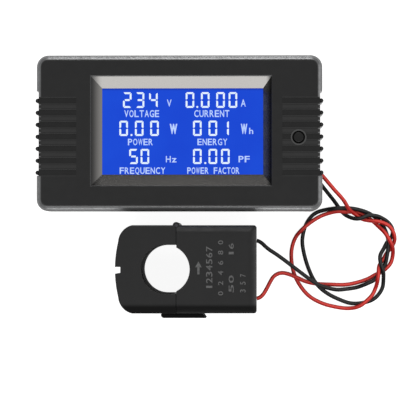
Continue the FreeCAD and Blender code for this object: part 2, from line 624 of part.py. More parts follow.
def terminals():
    rows = terminal_rows()
    half_pitch = TERMINAL_PITCH / 2
    back_x = BLOCK_FACE_X - BLOCK_DEPTH
    block_low = BOARD_BOTTOM - BLOCK_HEIGHT
    block = box(back_x, BLOCK_FACE_X, rows[0] - half_pitch, rows[-1] + half_pitch,
                block_low, BOARD_BOTTOM)
    opening_top = ENTRY_Z + TINNED_RADIUS
    opening_low = opening_top - CAGE_OPENING_HEIGHT
    cage_low = opening_low - CAGE_FLOOR
    cage_high = opening_top + CAGE_FLOOR
    cage_x = BLOCK_FACE_X - 1 - CAGE_DEPTH
    screw_x = cage_x + CAGE_DEPTH / 2
    holes = []
    cages = []
    screws = []
    for index, y in enumerate(rows):
        holes.append(rod_along_x(screw_x, BLOCK_FACE_X + 1, y, ENTRY_Z, ENTRY_RADIUS))
        holes.append(post(screw_x, y, CLAMP_SCREW_HEAD + 0.1, block_low - 1, cage_low))
        half = CAGE_WIDTH / 2 + CAGE_GAP
        holes.append(box(cage_x - CAGE_GAP, cage_x + CAGE_DEPTH + CAGE_GAP, y - half, y + half,
                         cage_low - CAGE_GAP, cage_high + CAGE_GAP))
        cage = box(cage_x, cage_x + CAGE_DEPTH, y - CAGE_WIDTH / 2, y + CAGE_WIDTH / 2,
                   cage_low, cage_high)
        cage = cage.cut(box(cage_x - 1, BLOCK_FACE_X, y - CAGE_OPENING / 2, y + CAGE_OPENING / 2,
                            opening_low, opening_top))
        cages.append(cage.cut(post(screw_x, y, CLAMP_SCREW + THREAD_GAP, 0, opening_low)))
        wired = index < 2
        foot = ENTRY_Z - TINNED_RADIUS if wired else opening_low + SLOT_DEPTH / 2
        shank = CLAMP_SCREW_LENGTH - CLAMP_SCREW_HEAD_HEIGHT
        head_low = foot - CLAMP_SCREW_LENGTH
        screw = post(screw_x, y, CLAMP_SCREW, foot - shank, foot)
        head = post(screw_x, y, CLAMP_SCREW_HEAD, head_low, foot - shank)
        slot = box(screw_x - CLAMP_SCREW_HEAD - 1, screw_x + CLAMP_SCREW_HEAD + 1,
                   y - SLOT_WIDTH / 2, y + SLOT_WIDTH / 2, head_low - 1, head_low + SLOT_DEPTH)
        screws.append(head.fuse(screw).removeSplitter().cut(slot))
    parts["terminal_block"] = block.cut(holes)
    parts["terminal_cages"] = Part.makeCompound(cages)
    parts["terminal_screws"] = Part.makeCompound(screws)
    lead_start = BLOCK_FACE_X - LEAD_INSIDE
    ends = [rod_along_x(lead_start - TINNED_LENGTH, lead_start, y, ENTRY_Z, TINNED_RADIUS)
            for y in rows[:2]]
    parts["tinned_ends"] = Part.makeCompound(ends)


# Current clamp, drawn about the middle of its split with u to the right and v up


def placed(shape):
    return shape.translated(vector(CLAMP_X, CLAMP_Y, 0))


def cap_outline():
    half = CLAMP_WIDTH / 2
    split = -SPLIT_GAP / 2
    corner_u = -(CAP_LENGTH - CAP_CORNER_RUN)
    bulge_u = -(CAP_LENGTH - CAP_BULGE)
    top_right = vector(split, half, 0)
    top_left = vector(corner_u, half, 0)
    left_high = vector(bulge_u, CAP_BULGE_HALF, 0)
    left_low = vector(bulge_u, -CAP_BULGE_HALF, 0)
    bottom_left = vector(corner_u, -half, 0)
    bottom_right = vector(split, -half, 0)
    edges = [Part.makeLine(top_right, top_left),
             arc_through(top_left, left_high, -CAP_CORNER_RISE),
             arc_through(left_high, left_low, -CAP_BULGE),
             arc_through(left_low, bottom_left, -CAP_CORNER_RISE),
             Part.makeLine(bottom_left, bottom_right),
             Part.makeLine(bottom_right, top_right)]
    return Part.Face(Part.Wire(edges))


def window_cutter():
    """The round window, with straight flanks from its middle to the split."""
    round_part = post(-WINDOW_OFFSET, 0, WINDOW_RADIUS, -1, CLAMP_DEPTH + 1)
    flank = box(-WINDOW_OFFSET, -SPLIT_GAP / 2, -WINDOW_RADIUS, WINDOW_RADIUS, -1, CLAMP_DEPTH + 1)
    return round_part.fuse(flank).removeSplitter()


def core_limits_z():
    below = CLAMP_PLATE + WINDING_GAP + WINDING_THICKNESS + BOBBIN_TUBE + CORE_GAP
    return below, CLAMP_DEPTH - below


LEG_INNER = WINDOW_RADIUS + WINDOW_WALL
LEG_OUTER = LEG_INNER + CORE_LEG


def knuckle_spans():
    """Three spans along the hinge: base, cap, base."""
    third = (CLAMP_DEPTH - 2 * KNUCKLE_END) / 3
    first = KNUCKLE_END
    return [(first, first + third - KNUCKLE_GAP / 2),
            (first + third + KNUCKLE_GAP / 2, first + 2 * third - KNUCKLE_GAP / 2),
            (first + 2 * third + KNUCKLE_GAP / 2, first + 3 * third)]


def hinge_relief(spans):
    reliefs = []
    for low, high in spans:
        reliefs.append(post(0, HINGE_V, KNUCKLE_RADIUS + KNUCKLE_CLEARANCE,
                            low - KNUCKLE_GAP, high + KNUCKLE_GAP))
    return reliefs


def cap_pocket(gap, z_low, z_high):
    """The space for the moving core, drawn smaller or larger all round by the gap."""
    back = CAP_CORE_BACK_U - gap
    outer = rounded_block((back, CAP_LENGTH, -LEG_OUTER - gap, LEG_OUTER + gap),
                          CAP_CORE_CORNER + gap, z_low, z_high)
    inner = box(CAP_CORE_BACK_U + CORE_BACK + gap, CAP_LENGTH + 1, -LEG_INNER + gap,
                LEG_INNER - gap, z_low - 1, z_high + 1)
    pocket = outer.cut(inner)
    return pocket.cut(box(-SPLIT_GAP / 2 - CORE_FACE_GAP + gap, CAP_LENGTH + 2,
                          -CLAMP_WIDTH, CLAMP_WIDTH, z_low - 1, z_high + 1))


def clamp_cap():
    core_low, core_high = core_limits_z()
    cap = cap_outline().extrude(vector(0, 0, CLAMP_DEPTH))
    rim = [edge for edge in edges_at_height(cap, CLAMP_DEPTH)
           if edge.BoundBox.XMin < -SPLIT_GAP]
    cap = cap.makeFillet(CAP_EDGE, rim)
    notch_v = NOTCH_OFFSET - NOTCH_WIDTH / 2
    notch = box(-CAP_LENGTH - 1, -CAP_LENGTH + NOTCH_DEPTH, notch_v, notch_v + NOTCH_WIDTH,
                -1, CLAMP_DEPTH + 1)
    spring_room = box(CAP_CORE_BACK_U - SPRING_SPACE, CAP_CORE_BACK_U + 0.1,
                      -LEG_INNER, LEG_INNER, core_low, core_high)
    groove = post(LATCH_BEAD_U, -CLAMP_WIDTH / 2 + 0.2, LATCH_BEAD + SLIDE_GAP,
                  LATCH_LOW_Z - KNUCKLE_GAP, LATCH_HIGH_Z + KNUCKLE_GAP)
    spans = knuckle_spans()
    cutters = [notch, window_cutter(), spring_room, groove,
               cap_pocket(CORE_GAP, -1, core_high + CORE_GAP)]
    cap = cap.cut(cutters + hinge_relief([spans[0], spans[2]]))
    knuckle = post(0, HINGE_V, KNUCKLE_RADIUS, *spans[1])
    cap = cap.fuse(knuckle)
    return cap.cut(post(0, HINGE_V, PIN_RADIUS + SLIDE_GAP, 0, CLAMP_DEPTH)).removeSplitter()


def cap_back_plate():
    """Closes the pocket of the cap and carries the moving core."""
    core_low, _ = core_limits_z()
    return cap_pocket(CORE_GAP - SLIDE_GAP, 0, core_low)


def moving_core():
    return cap_pocket(0, *core_limits_z())


def core_spring():
    """A bowed leaf between the wall of the cap and the back of the moving core."""
    core_low, core_high = core_limits_z()
    inset = 1.0
    half = LEG_INNER - inset
    ends_u = CAP_CORE_BACK_U - SPRING_STRIP - 0.02
    crown_u = CAP_CORE_BACK_U - SPRING_SPACE + 0.02
    outer = Part.Arc(vector(ends_u, half, 0), vector(crown_u, 0, 0), vector(ends_u, -half, 0))
    inner = Part.Arc(vector(ends_u + SPRING_STRIP, half, 0),
                     vector(crown_u + SPRING_STRIP, 0, 0),
                     vector(ends_u + SPRING_STRIP, -half, 0))
    edges = [outer.toShape(),
             Part.makeLine(vector(ends_u, -half, 0), vector(ends_u + SPRING_STRIP, -half, 0)),
             inner.toShape(),
             Part.makeLine(vector(ends_u + SPRING_STRIP, half, 0), vector(ends_u, half, 0))]
    leaf = Part.Face(Part.Wire(Part.__sortEdges__(edges))).extrude(
        vector(0, 0, core_high - core_low - 2 * inset))
    return leaf.translated(vector(0, 0, core_low + inset))


def base_cavity(gap, z_low, z_high):
    half = CLAMP_WIDTH / 2 - CLAMP_WALL - gap
    room = box(CLAMP_WALL + gap, BASE_LENGTH - CLAMP_WALL - gap, -half, half, z_low, z_high)
    return room.cut(post(-WINDOW_OFFSET, 0, WINDOW_RADIUS + WINDOW_WALL + gap, z_low - 1, z_high + 1))


def clamp_base():
    core_low, core_high = core_limits_z()
    half = CLAMP_WIDTH / 2
    split = SPLIT_GAP / 2
    base = box(split, BASE_LENGTH, -half, half, 0, CLAMP_DEPTH)
    upright = [edge for edge in base.Edges
               if edge.BoundBox.ZLength > 1 and edge.BoundBox.XMin > BASE_LENGTH - 1]
    base = base.makeFillet(BASE_CORNER, upright)
    long_edges = [edge for edge in edges_at_height(base, CLAMP_DEPTH)
                  if edge.BoundBox.XLength > BASE_LENGTH / 2]
    base = base.makeFillet(BASE_EDGE, long_edges)
    leg_low = LEG_INNER - CORE_GAP
    leg_high = LEG_OUTER + CORE_GAP
    windows = []
    for low, high in ((leg_low, leg_high), (-leg_high, -leg_low)):
        windows.append(box(-1, CLAMP_WALL + 1, low, high, core_low - CORE_GAP, core_high + CORE_GAP))
    holes = [rod_along_x(BASE_LENGTH / 2, BASE_LENGTH + 1, v, LEAD_EXIT_Z,
                         LEAD_RADIUS + LEAD_HOLE_GAP) for v in (BLACK_EXIT_V, RED_EXIT_V)]
    spans = knuckle_spans()
    cutters = [window_cutter(), base_cavity(0, -1, CLAMP_DEPTH - CLAMP_WALL)]
    base = base.cut(cutters + windows + holes + hinge_relief([spans[1]]))
    additions = [post(0, HINGE_V, KNUCKLE_RADIUS, low, high) for low, high in (spans[0], spans[2])]
    catch = box(CATCH_LOW_U, CATCH_LOW_U + CATCH_LENGTH, -half - CATCH_HEIGHT, -half + 0.5,
                LATCH_LOW_Z + 1, LATCH_HIGH_Z - 1)
    base = base.fuse(additions + [catch])
    return base.cut(post(0, HINGE_V, PIN_RADIUS + SLIDE_GAP, KNUCKLE_END + 0.5,
                         CLAMP_DEPTH)).removeSplitter()


def fixed_core():
    low, high = core_limits_z()
    start = SPLIT_GAP / 2 + CORE_FACE_GAP - CORE_GAP
    block = box(start, BASE_CORE_BACK_U, -LEG_OUTER, LEG_OUTER, low, high)
    return block.cut(box(start - 1, BASE_CORE_BACK_U - CORE_BACK, -LEG_INNER, LEG_INNER,
                         low - 1, high + 1))


def winding_parts():
    low, high = core_limits_z()
    core_front = BASE_CORE_BACK_U - CORE_BACK
    half = LEG_INNER - CORE_GAP

    def ring(grow, inner_grow, reach):
        outer = box(core_front - grow, BASE_CORE_BACK_U + grow, -reach, reach,
                    low - grow, high + grow)
        inner = box(core_front - inner_grow, BASE_CORE_BACK_U + inner_grow, -reach - 1, reach + 1,
                    low - inner_grow, high + inner_grow)
        return outer.cut(inner)

    tube_outer = CORE_GAP + BOBBIN_TUBE
    winding_outer = tube_outer + WINDING_THICKNESS
    coil_half = half - BOBBIN_FLANGE
    tube = ring(tube_outer, CORE_GAP, half)
    flanges = ring(winding_outer, CORE_GAP, half).cut(
        box(-CAP_LENGTH, BASE_LENGTH, -coil_half, coil_half, 0, CLAMP_DEPTH))
    parts["bobbin"] = placed(tube.fuse(flanges).removeSplitter())
    winding = ring(winding_outer - 0.1, tube_outer, coil_half - SLIDE_GAP)
    parts["secondary_winding"] = placed(winding)


def clamp_latch():
    half = CLAMP_WIDTH / 2
    inner = -half - LATCH_BACK_GAP
    outer = inner - LATCH_THICKNESS
    hook = -half - LATCH_HOOK_GAP
    corner = vector(LATCH_START_U, outer + LATCH_CORNER, 0)
    corner_end = vector(LATCH_START_U + LATCH_CORNER, outer, 0)
    points = [vector(LATCH_END_U, outer, 0), vector(LATCH_HOOK_U, hook, 0),
              vector(LATCH_HOOK_U - LATCH_HOOK_LENGTH, hook, 0),
              vector(LATCH_HOOK_U - LATCH_HOOK_LENGTH, inner, 0),
              vector(LATCH_START_U, inner, 0), corner]
    rise = -LATCH_CORNER * (1 - math.sqrt(0.5))
    edges = [Part.makeLine(corner_end, points[0])]
    for start, end in zip(points, points[1:]):
        if start.distanceToPoint(end) > 1e-6:
            edges.append(Part.makeLine(start, end))
    edges.append(arc_through(corner, corner_end, rise))
    bar = Part.Face(Part.Wire(edges)).extrude(vector(0, 0, LATCH_HIGH_Z - LATCH_LOW_Z))
    bar = bar.translated(vector(0, 0, LATCH_LOW_Z))
    bead_v = -half + 0.2
    bead = post(LATCH_BEAD_U, bead_v, LATCH_BEAD, LATCH_LOW_Z, LATCH_HIGH_Z)
    neck = box(LATCH_BEAD_U - LATCH_NECK / 2, LATCH_BEAD_U + LATCH_NECK / 2, inner - 0.2, bead_v,
               LATCH_LOW_Z, LATCH_HIGH_Z)
    return fuse_all([bar, bead, neck])


def clamp():
    parts["clamp_base"] = placed(clamp_base())
    parts["clamp_back_plate"] = placed(base_cavity(SLIDE_GAP, 0, CLAMP_PLATE))
    parts["clamp_cap"] = placed(clamp_cap())
    parts["cap_back_plate"] = placed(cap_back_plate())
    parts["moving_core"] = placed(moving_core())
    parts["fixed_core"] = placed(fixed_core())
    parts["core_spring"] = placed(core_spring())
    parts["hinge_pin"] = placed(post(0, HINGE_V, PIN_RADIUS, KNUCKLE_END + 0.5,
                                     CLAMP_DEPTH - KNUCKLE_END))
    parts["clamp_latch"] = placed(clamp_latch())
    winding_parts()


# Leads


def lead_tube(name, route):
    """A tube swept along straight runs that tangent arcs join."""
    points = [vector(*point) for point in route]
    edges = []
    radii = []
    start = points[0]
    for before, corner, after in zip(points, points[1:], points[2:]):
        into = corner.sub(before)
        out = after.sub(corner)
        trim = 0.45 * min(into.Length, out.Length)
        half_turn = into.getAngle(out) / 2
        radius = trim / math.tan(half_turn)
        radii.append(radius)
        into.normalize()
        out.normalize()
        arc_start = corner.sub(into * trim)
        arc_end = corner.add(out * trim)
        inward = out.sub(into).normalize()
        middle = corner.add(inward * (radius / math.cos(half_turn) - radius))
        edges.append(Part.LineSegment(start, arc_start).toShape())
        edges.append(Part.Arc(arc_start, middle, arc_end).toShape())
        start = arc_end
    edges.append(Part.LineSegment(start, points[-1]).toShape())
    path = Part.Wire(edges)
    section = Part.Wire([Part.makeCircle(LEAD_RADIUS, points[0], points[1].sub(points[0]))])
    tube = path.makePipeShell([section], True, False)
    expected = math.pi * LEAD_RADIUS ** 2 * path.Length
    print(name, "length", round(path.Length, 1), "radii", [round(radius, 1) for radius in radii])
    print(name, "volume over section times length", round(tube.Volume / expected, 4))
    return tube


def leads():
    parts["black_lead"] = lead_tube("black_lead", BLACK_ROUTE)
    parts["red_lead"] = lead_tube("red_lead", RED_ROUTE)


parts["front_housing"] = front_housing()
parts["rear_cover"] = rear_cover()
parts["main_board"] = main_board()
display_stack()
board_parts()
fixing_screws()
button()
terminals()
clamp()
leads()

os.makedirs("parts", exist_ok=True)
for node, shape in parts.items():
    shape.exportStep("parts/" + node + ".step")
    print(node, len(shape.Solids), "solids", round(shape.Volume, 1), "mm3", shape.isValid())
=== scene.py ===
# %% [markdown]
# # A panel power meter and its current clamp
# A black meter lies on its back with its blue screen lit, and two thin leads run in loose loops
# to a hinged clamp that goes round a cable. The solid pieces come ready made from the packed
# model. This file gives them their finish, lays the two leads, lights the screen's characters,
# and sets up the camera and the lamps. Lengths are written in millimetres and turned into
# metres where they are used. Only the table and the lamps, which are large, are in metres.

# %% Load the solid pieces
import math

import bmesh
import bpy
from mathutils import Matrix, Vector


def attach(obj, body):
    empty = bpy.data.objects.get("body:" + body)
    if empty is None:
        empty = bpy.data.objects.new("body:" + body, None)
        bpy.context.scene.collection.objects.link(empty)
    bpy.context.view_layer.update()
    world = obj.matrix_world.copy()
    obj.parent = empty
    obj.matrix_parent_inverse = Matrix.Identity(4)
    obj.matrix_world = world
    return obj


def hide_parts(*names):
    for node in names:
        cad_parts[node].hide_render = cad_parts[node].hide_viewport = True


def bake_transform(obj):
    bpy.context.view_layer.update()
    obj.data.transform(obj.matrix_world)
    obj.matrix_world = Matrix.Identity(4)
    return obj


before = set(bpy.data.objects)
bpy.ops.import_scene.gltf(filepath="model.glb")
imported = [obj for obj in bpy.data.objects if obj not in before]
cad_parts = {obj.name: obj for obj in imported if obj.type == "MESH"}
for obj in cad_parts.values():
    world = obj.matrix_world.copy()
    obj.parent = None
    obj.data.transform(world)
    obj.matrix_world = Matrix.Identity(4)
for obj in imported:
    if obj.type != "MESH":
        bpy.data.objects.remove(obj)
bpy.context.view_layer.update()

MM = 0.001


def in_metres(point):
    return tuple(value * MM for value in point)


def grey(value):
    return (value, value, value)


# %% [markdown]
# ## The camera
# The photograph looks down on the table from about 0.8 m. A long lens keeps the sides of the
# meter out of sight, as they are there. The lens follows from the width of table that the
# picture shows, because the picture is square and the sensor is 36 mm wide. The camera stands
# a little to the right of the middle and below it, because the photograph shows the left wall
# of the clamp's round window.

# %% Put the camera above the table
CAMERA_PLACE = (22.0, -36.0, 803.0)
VIEW_MIDDLE = (6.57, -21.05, 28.0)
VIEW_WIDTH = 124.46
SENSOR = 36.0

camera_data = bpy.data.cameras.new("camera")
camera = bpy.data.objects.new("camera", camera_data)
forward = Vector(VIEW_MIDDLE) - Vector(CAMERA_PLACE)
camera_data.sensor_width = SENSOR
camera_data.lens = SENSOR * forward.length / VIEW_WIDTH
forward.normalize()
sideways = forward.cross(Vector((0, 1, 0))).normalized()
upwards = sideways.cross(forward)
camera.matrix_world = (Matrix.Translation(in_metres(CAMERA_PLACE))
                       @ Matrix((sideways, upwards, -forward)).transposed().to_4x4())
bpy.context.scene.collection.objects.link(camera)
bpy.context.scene.camera = camera
print("lens", round(camera_data.lens, 1), "mm")

# %% [markdown]
# ## Building a finish from nodes
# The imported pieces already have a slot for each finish, so a finish is built into the material
# that is there, and every piece that uses it gets it at once. Most finishes want the same
# things: a noise of a real size on the object's own coordinates, a colour ramp, and a bump.
# These helpers keep each finish short. A noise whose features are one size across has a scale
# of one over that size.


# %% Nodes and their wires
def finish_named(name, roughness, metallic=0.0, colour=grey(0.5)):
    """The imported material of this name, or a new one, with its shader set to plain values."""
    finish = bpy.data.materials.get(name) or bpy.data.materials.new(name)
    finish.use_nodes = True
    shader = next(node for node in finish.node_tree.nodes if node.type == "BSDF_PRINCIPLED")
    shader.inputs["Base Color"].default_value = (*colour, 1)
    shader.inputs["Roughness"].default_value = roughness
    shader.inputs["Metallic"].default_value = metallic
    return finish, shader


def add(finish, kind, **settings):
    node = finish.node_tree.nodes.new("ShaderNode" + kind)
    for name, value in settings.items():
        setattr(node, name, value)
    return node


def wire(finish, source, target):
    finish.node_tree.links.new(source, target)


def feed(finish, socket, value):
    """Gives a socket a number, a colour or another node's output."""
    if isinstance(value, (int, float)):
        socket.default_value = value
    elif isinstance(value, tuple):
        socket.default_value = (*value, 1)
    else:
        wire(finish, value, socket)


def calculate(finish, operation, *values):
    """One Math node on numbers or other nodes' outputs."""
    node = add(finish, "Math", operation=operation)
    for socket, value in zip(node.inputs, values):
        feed(finish, socket, value)
    return node.outputs["Value"]


print("wiring ready")


# %% Patterns and colours
def noise(finish, size, detail=3.0, stretch=(1, 1, 1)):
    """A noise whose features are about this many millimetres across."""
    mapping = add(finish, "Mapping")
    mapping.inputs["Scale"].default_value = stretch
    wire(finish, add(finish, "TexCoord").outputs["Object"], mapping.inputs["Vector"])
    texture = add(finish, "TexNoise")
    texture.inputs["Scale"].default_value = 1 / (size * MM)
    texture.inputs["Detail"].default_value = detail
    wire(finish, mapping.outputs["Vector"], texture.inputs["Vector"])
    return texture.outputs["Fac"]


def rise(finish, value, start, end, low=0.0, high=1.0):
    """Goes smoothly from low to high as the value goes from start to end."""
    node = add(finish, "MapRange", interpolation_type="SMOOTHSTEP")
    for name, number in (("From Min", start), ("From Max", end), ("To Min", low), ("To Max", high)):
        node.inputs[name].default_value = number
    wire(finish, value, node.inputs["Value"])
    return node.outputs["Result"]


def ramp(finish, value, dark, light, start=0.3):
    """Dark up to the start, light from 1 minus the start on, and a slide between them."""
    node = add(finish, "ValToRGB")
    stops = zip(node.color_ramp.elements, (start, 1 - start), (dark, light))
    for element, position, colour in stops:
        element.position = position
        element.color = (*colour, 1)
    wire(finish, value, node.inputs["Fac"])
    return node.outputs["Color"]


def mix_colours(finish, share, first, second):
    """The first colour where the share is 0, the second where it is 1."""
    node = add(finish, "Mix", data_type="RGBA")
    for place, value in ((0, share), (6, first), (7, second)):
        feed(finish, node.inputs[place], value)
    return node.outputs[2]


print("patterns ready")


# %% Colour, relief and gloss
def dye(finish, shader, tone):
    """Gives the surface its colour."""
    wire(finish, tone, shader.inputs["Base Color"])


def shine(shader, level):
    """How much the surface mirrors; 0.5 is ordinary plastic."""
    shader.inputs["Specular IOR Level"].default_value = level


def bump(finish, shader, height, depth):
    """Lets the surface look raised by up to this depth, in millimetres."""
    node = add(finish, "Bump")
    node.inputs["Distance"].default_value = depth * MM
    wire(finish, height, node.inputs["Height"])
    wire(finish, node.outputs["Normal"], shader.inputs["Normal"])


def uneven(finish, shader, roughness, spread, size=2.5):
    """Lets the gloss drift a little over the surface."""
    wire(finish, rise(finish, noise(finish, size, 2.0), 0.3, 0.7, roughness - spread,
                      roughness + spread), shader.inputs["Roughness"])


print("helpers ready")

# %% [markdown]
# ## The two leads
# Each lead is thin, soft insulated wire. It leaves its screw terminal under the meter's right
# edge, goes twice round the loose loops and into the end of the clamp. The points are those of
# the part's own route, most of them moved by up to 1.5 mm so that the wires lie where the
# photograph shows them. One smooth spline with these points as its control points is the wire's
# own centreline. A round bevel makes it a tube, and the tube becomes a mesh.

# %% Routes of the leads
LEAD_DIAMETER = 1.3
BLACK_ROUTE = [
    (36.6, -12.98, 9.2), (42.6, -12.98, 9.2), (45.7, -16.8, 6.7), (48.0, -19.5, 3.0),
    (49.8, -21.6, 0.9), (51.9, -24.9, 0.65), (54.8, -26.5, 2.0), (57.4, -26.7, 3.1),
    (59.9, -25.4, 2.7), (62.8, -25.6, 2.2), (64.7, -26.4, 1.1), (66.8, -27.8, 0.65),
    (68.2, -30.1, 0.65), (67.7, -32.6, 0.65), (66.1, -34.1, 0.65), (65.1, -36.2, 1.1),
    (63.6, -38.5, 2.5), (64.0, -41.3, 3.7), (64.9, -43.5, 3.6), (65.0, -46.3, 1.2),
    (64.8, -49.0, 0.65), (62.6, -52.1, 0.65), (59.6, -53.5, 0.65), (54.7, -54.0, 0.65),
    (50.9, -52.6, 0.65), (47.5, -51.0, 1.0), (44.5, -48.8, 2.3), (42.4, -46.1, 2.2),
    (40.8, -42.4, 0.8), (39.6, -38.5, 0.65), (38.8, -34.2, 0.65), (39.3, -30.6, 0.65),
    (40.6, -27.2, 0.65), (43.1, -24.5, 0.65), (47.1, -23.5, 1.7), (49.9, -23.2, 3.2),
    (53.0, -23.1, 2.9), (56.2, -23.4, 1.7), (60.0, -24.5, 1.2), (62.6, -26.2, 0.65),
    (64.8, -28.6, 0.8), (65.9, -30.9, 1.6), (66.6, -33.8, 2.3), (66.4, -36.5, 2.5),
    (66.0, -38.9, 2.1), (65.6, -41.3, 1.4), (63.6, -43.8, 2.1), (62.3, -46.2, 2.0),
    (59.9, -47.3, 2.3), (56.6, -48.7, 1.0), (53.0, -49.2, 0.65), (49.8, -49.5, 1.3),
    (45.9, -48.5, 3.1), (43.1, -47.4, 4.4), (37.4, -43.1, 5.7), (30.8, -38.1, 7.2),
    (27.7, -36.2, 7.9), (25.45, -33.9, 8.0), (24.25, -33.6, 8.0)]
RED_ROUTE = [
    (36.6, -7.9, 9.2), (41.2, -8.6, 9.2), (45.3, -13.0, 8.5), (49.1, -17.5, 7.4),
    (52.3, -20.8, 5.8), (53.8, -23.8, 4.2), (55.9, -25.1, 2.0), (57.9, -26.7, 1.2),
    (60.2, -27.2, 1.9), (62.6, -27.3, 2.6), (65.0, -27.9, 2.4), (67.0, -29.0, 2.4),
    (68.3, -31.1, 2.4), (68.7, -33.6, 1.5), (67.6, -35.8, 0.8), (65.9, -37.7, 0.65),
    (64.8, -40.0, 0.65), (63.4, -41.6, 2.3), (63.3, -43.8, 3.6), (63.0, -46.5, 3.2),
    (62.6, -48.4, 1.7), (61.5, -51.0, 1.6), (59.9, -52.6, 2.4), (57.2, -54.9, 2.1),
    (53.6, -55.5, 0.9), (49.8, -55.0, 0.65), (45.3, -53.9, 0.65), (41.0, -51.6, 0.65),
    (38.1, -48.1, 0.65), (36.2, -44.3, 0.65), (35.4, -40.4, 0.65), (35.4, -36.3, 0.65),
    (36.6, -32.5, 1.0), (38.9, -29.9, 2.3), (41.4, -27.8, 2.1), (44.5, -25.8, 1.0),
    (47.6, -24.7, 1.3), (50.4, -24.1, 2.1), (53.2, -24.4, 2.2), (56.3, -24.4, 0.65),
    (59.0, -25.5, 0.65), (61.2, -26.9, 0.65), (63.4, -29.1, 1.7), (65.2, -30.8, 3.4),
    (66.6, -33.0, 4.0), (67.9, -35.5, 3.0), (68.1, -38.0, 1.2), (67.5, -40.8, 0.65),
    (66.0, -42.5, 0.65), (63.8, -44.1, 0.65), (62.4, -44.5, 0.65), (60.2, -45.9, 0.65),
    (56.7, -47.1, 0.65), (52.6, -47.9, 0.65), (48.0, -47.7, 0.65), (44.1, -47.6, 0.65),
    (40.2, -46.9, 1.2), (37.5, -45.6, 2.4), (34.6, -44.3, 2.4), (32.0, -43.8, 2.8),
    (29.8, -44.8, 3.8), (28.6, -46.7, 5.1), (27.7, -48.5, 6.5), (27.1, -49.5, 7.3),
    (26.6, -50.4, 7.9), (25.4, -51.8, 8.0), (24.25, -52.1, 8.0)]
print("route points:", len(BLACK_ROUTE), len(RED_ROUTE))

# %% [markdown]
# ### The insulation
# Soft vinyl is waxy rather than glossy, with dull patches where it was handled. So the colour
# hardly changes along the wire, the roughness drifts, and the shine is weak: a strong one would
# mirror the white table along both flanks and make the wire look thin. Across the wire a painted
# highlight makes the upper side paler, by how the surface faces a direction just off straight
# up, and the flanks stay deep.


# %% Finish of the insulation
HIGHLIGHT_FROM = (0.22, 0.22, 0.95)


def insulation(name, dark, light, top_highlight_colour, roughness):
    """Soft vinyl with a painted highlight along its upper side."""
    finish, shader = finish_named(name, roughness)
    tone = ramp(finish, noise(finish, 6.0), dark, light, 0.35)
    facing = add(finish, "VectorMath", operation="DOT_PRODUCT")
    wire(finish, add(finish, "TexCoord").outputs["Normal"], facing.inputs[0])
    facing.inputs[1].default_value = HIGHLIGHT_FROM
    # painted highlight: where the surface faces the given direction, the colour goes over to the
    # paler top colour
    tone = mix_colours(finish, rise(finish, facing.outputs["Value"], 0.7, 1.0), tone, top_highlight_colour)
    dye(finish, shader, tone)
    shine(shader, 0.12)
    uneven(finish, shader, roughness, 0.07, 1.5)
    bump(finish, shader, noise(finish, 0.35, 2.0), 0.012)
    return finish


# the last colour of each lead is the painted highlight of its upper side
red_insulation = insulation("red_insulation", (0.34, 0.006, 0.005), (0.42, 0.010, 0.008),
                            (0.80, 0.08, 0.065), 0.45)
black_insulation = insulation("black_insulation", grey(0.002), grey(0.004), grey(0.042), 0.48)
print("insulation:", red_insulation.name, black_insulation.name)

# %% [markdown]
# ### From route to wire
# The spline's order and end points are set after its points are added, because before that they
# don't take. The same curve without a bevel gives the centreline, on which the length is
# measured.


# %% Make both wires
def wire_curve(name, route, radius):
    """The route as one smooth spline, with a round bevel when it has a radius."""
    curve = bpy.data.curves.new(name, "CURVE")
    curve.dimensions = "3D"
    spline = curve.splines.new("NURBS")
    spline.points.add(len(route) - 1)
    for point, position in zip(spline.points, route):
        point.co = (*in_metres(position), 1)
    spline.order_u = 3
    spline.use_endpoint_u = True
    spline.resolution_u = 6
    curve.bevel_depth = radius * MM
    curve.bevel_resolution = 5
    curve.use_fill_caps = True
    return bpy.data.objects.new(name, curve)


def as_mesh(source):
    """The mesh of a curve, text or modified object, which is then removed."""
    bpy.context.scene.collection.objects.link(source)
    bpy.context.view_layer.update()
    state = bpy.context.evaluated_depsgraph_get()
    mesh = bpy.data.meshes.new_from_object(source.evaluated_get(state))
    bpy.data.objects.remove(source)
    return mesh


def show(name, mesh, finish, body):
    """Puts a finished mesh in the scene on a body."""
    mesh.materials.clear()
    mesh.materials.append(finish)
    piece = bpy.data.objects.new(name, mesh)
    bpy.context.scene.collection.objects.link(piece)
    if body:
        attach(piece, body)
    return piece


def lay_lead(name, node, route, finish):
    """A lead as a smooth tube mesh along its route; the part's own lead is hidden."""
    bare = as_mesh(wire_curve(name + "_line", route, 0))
    line = [vertex.co.copy() for vertex in bare.vertices]
    length = sum((b - a).length for a, b in zip(line, line[1:]))
    mesh = as_mesh(wire_curve(name + "_tube", route, LEAD_DIAMETER / 2))
    for face in mesh.polygons:
        face.use_smooth = True
    tube = show(name, mesh, finish, None)
    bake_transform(tube)
    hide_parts(node)
    [tuple(point) for point in line]
    print(name, "is", round(length / MM, 1), "mm long")


lay_lead("black_wire", "black_lead", BLACK_ROUTE, black_insulation)
lay_lead("red_wire", "red_lead", RED_ROUTE, red_insulation)

# %% [markdown]
# ## The table
# The photograph is on pure white. So the table glows nearly white for the camera and in
# reflections, and is an ordinary pale surface for the lamps, whose shadows stay soft and faint.

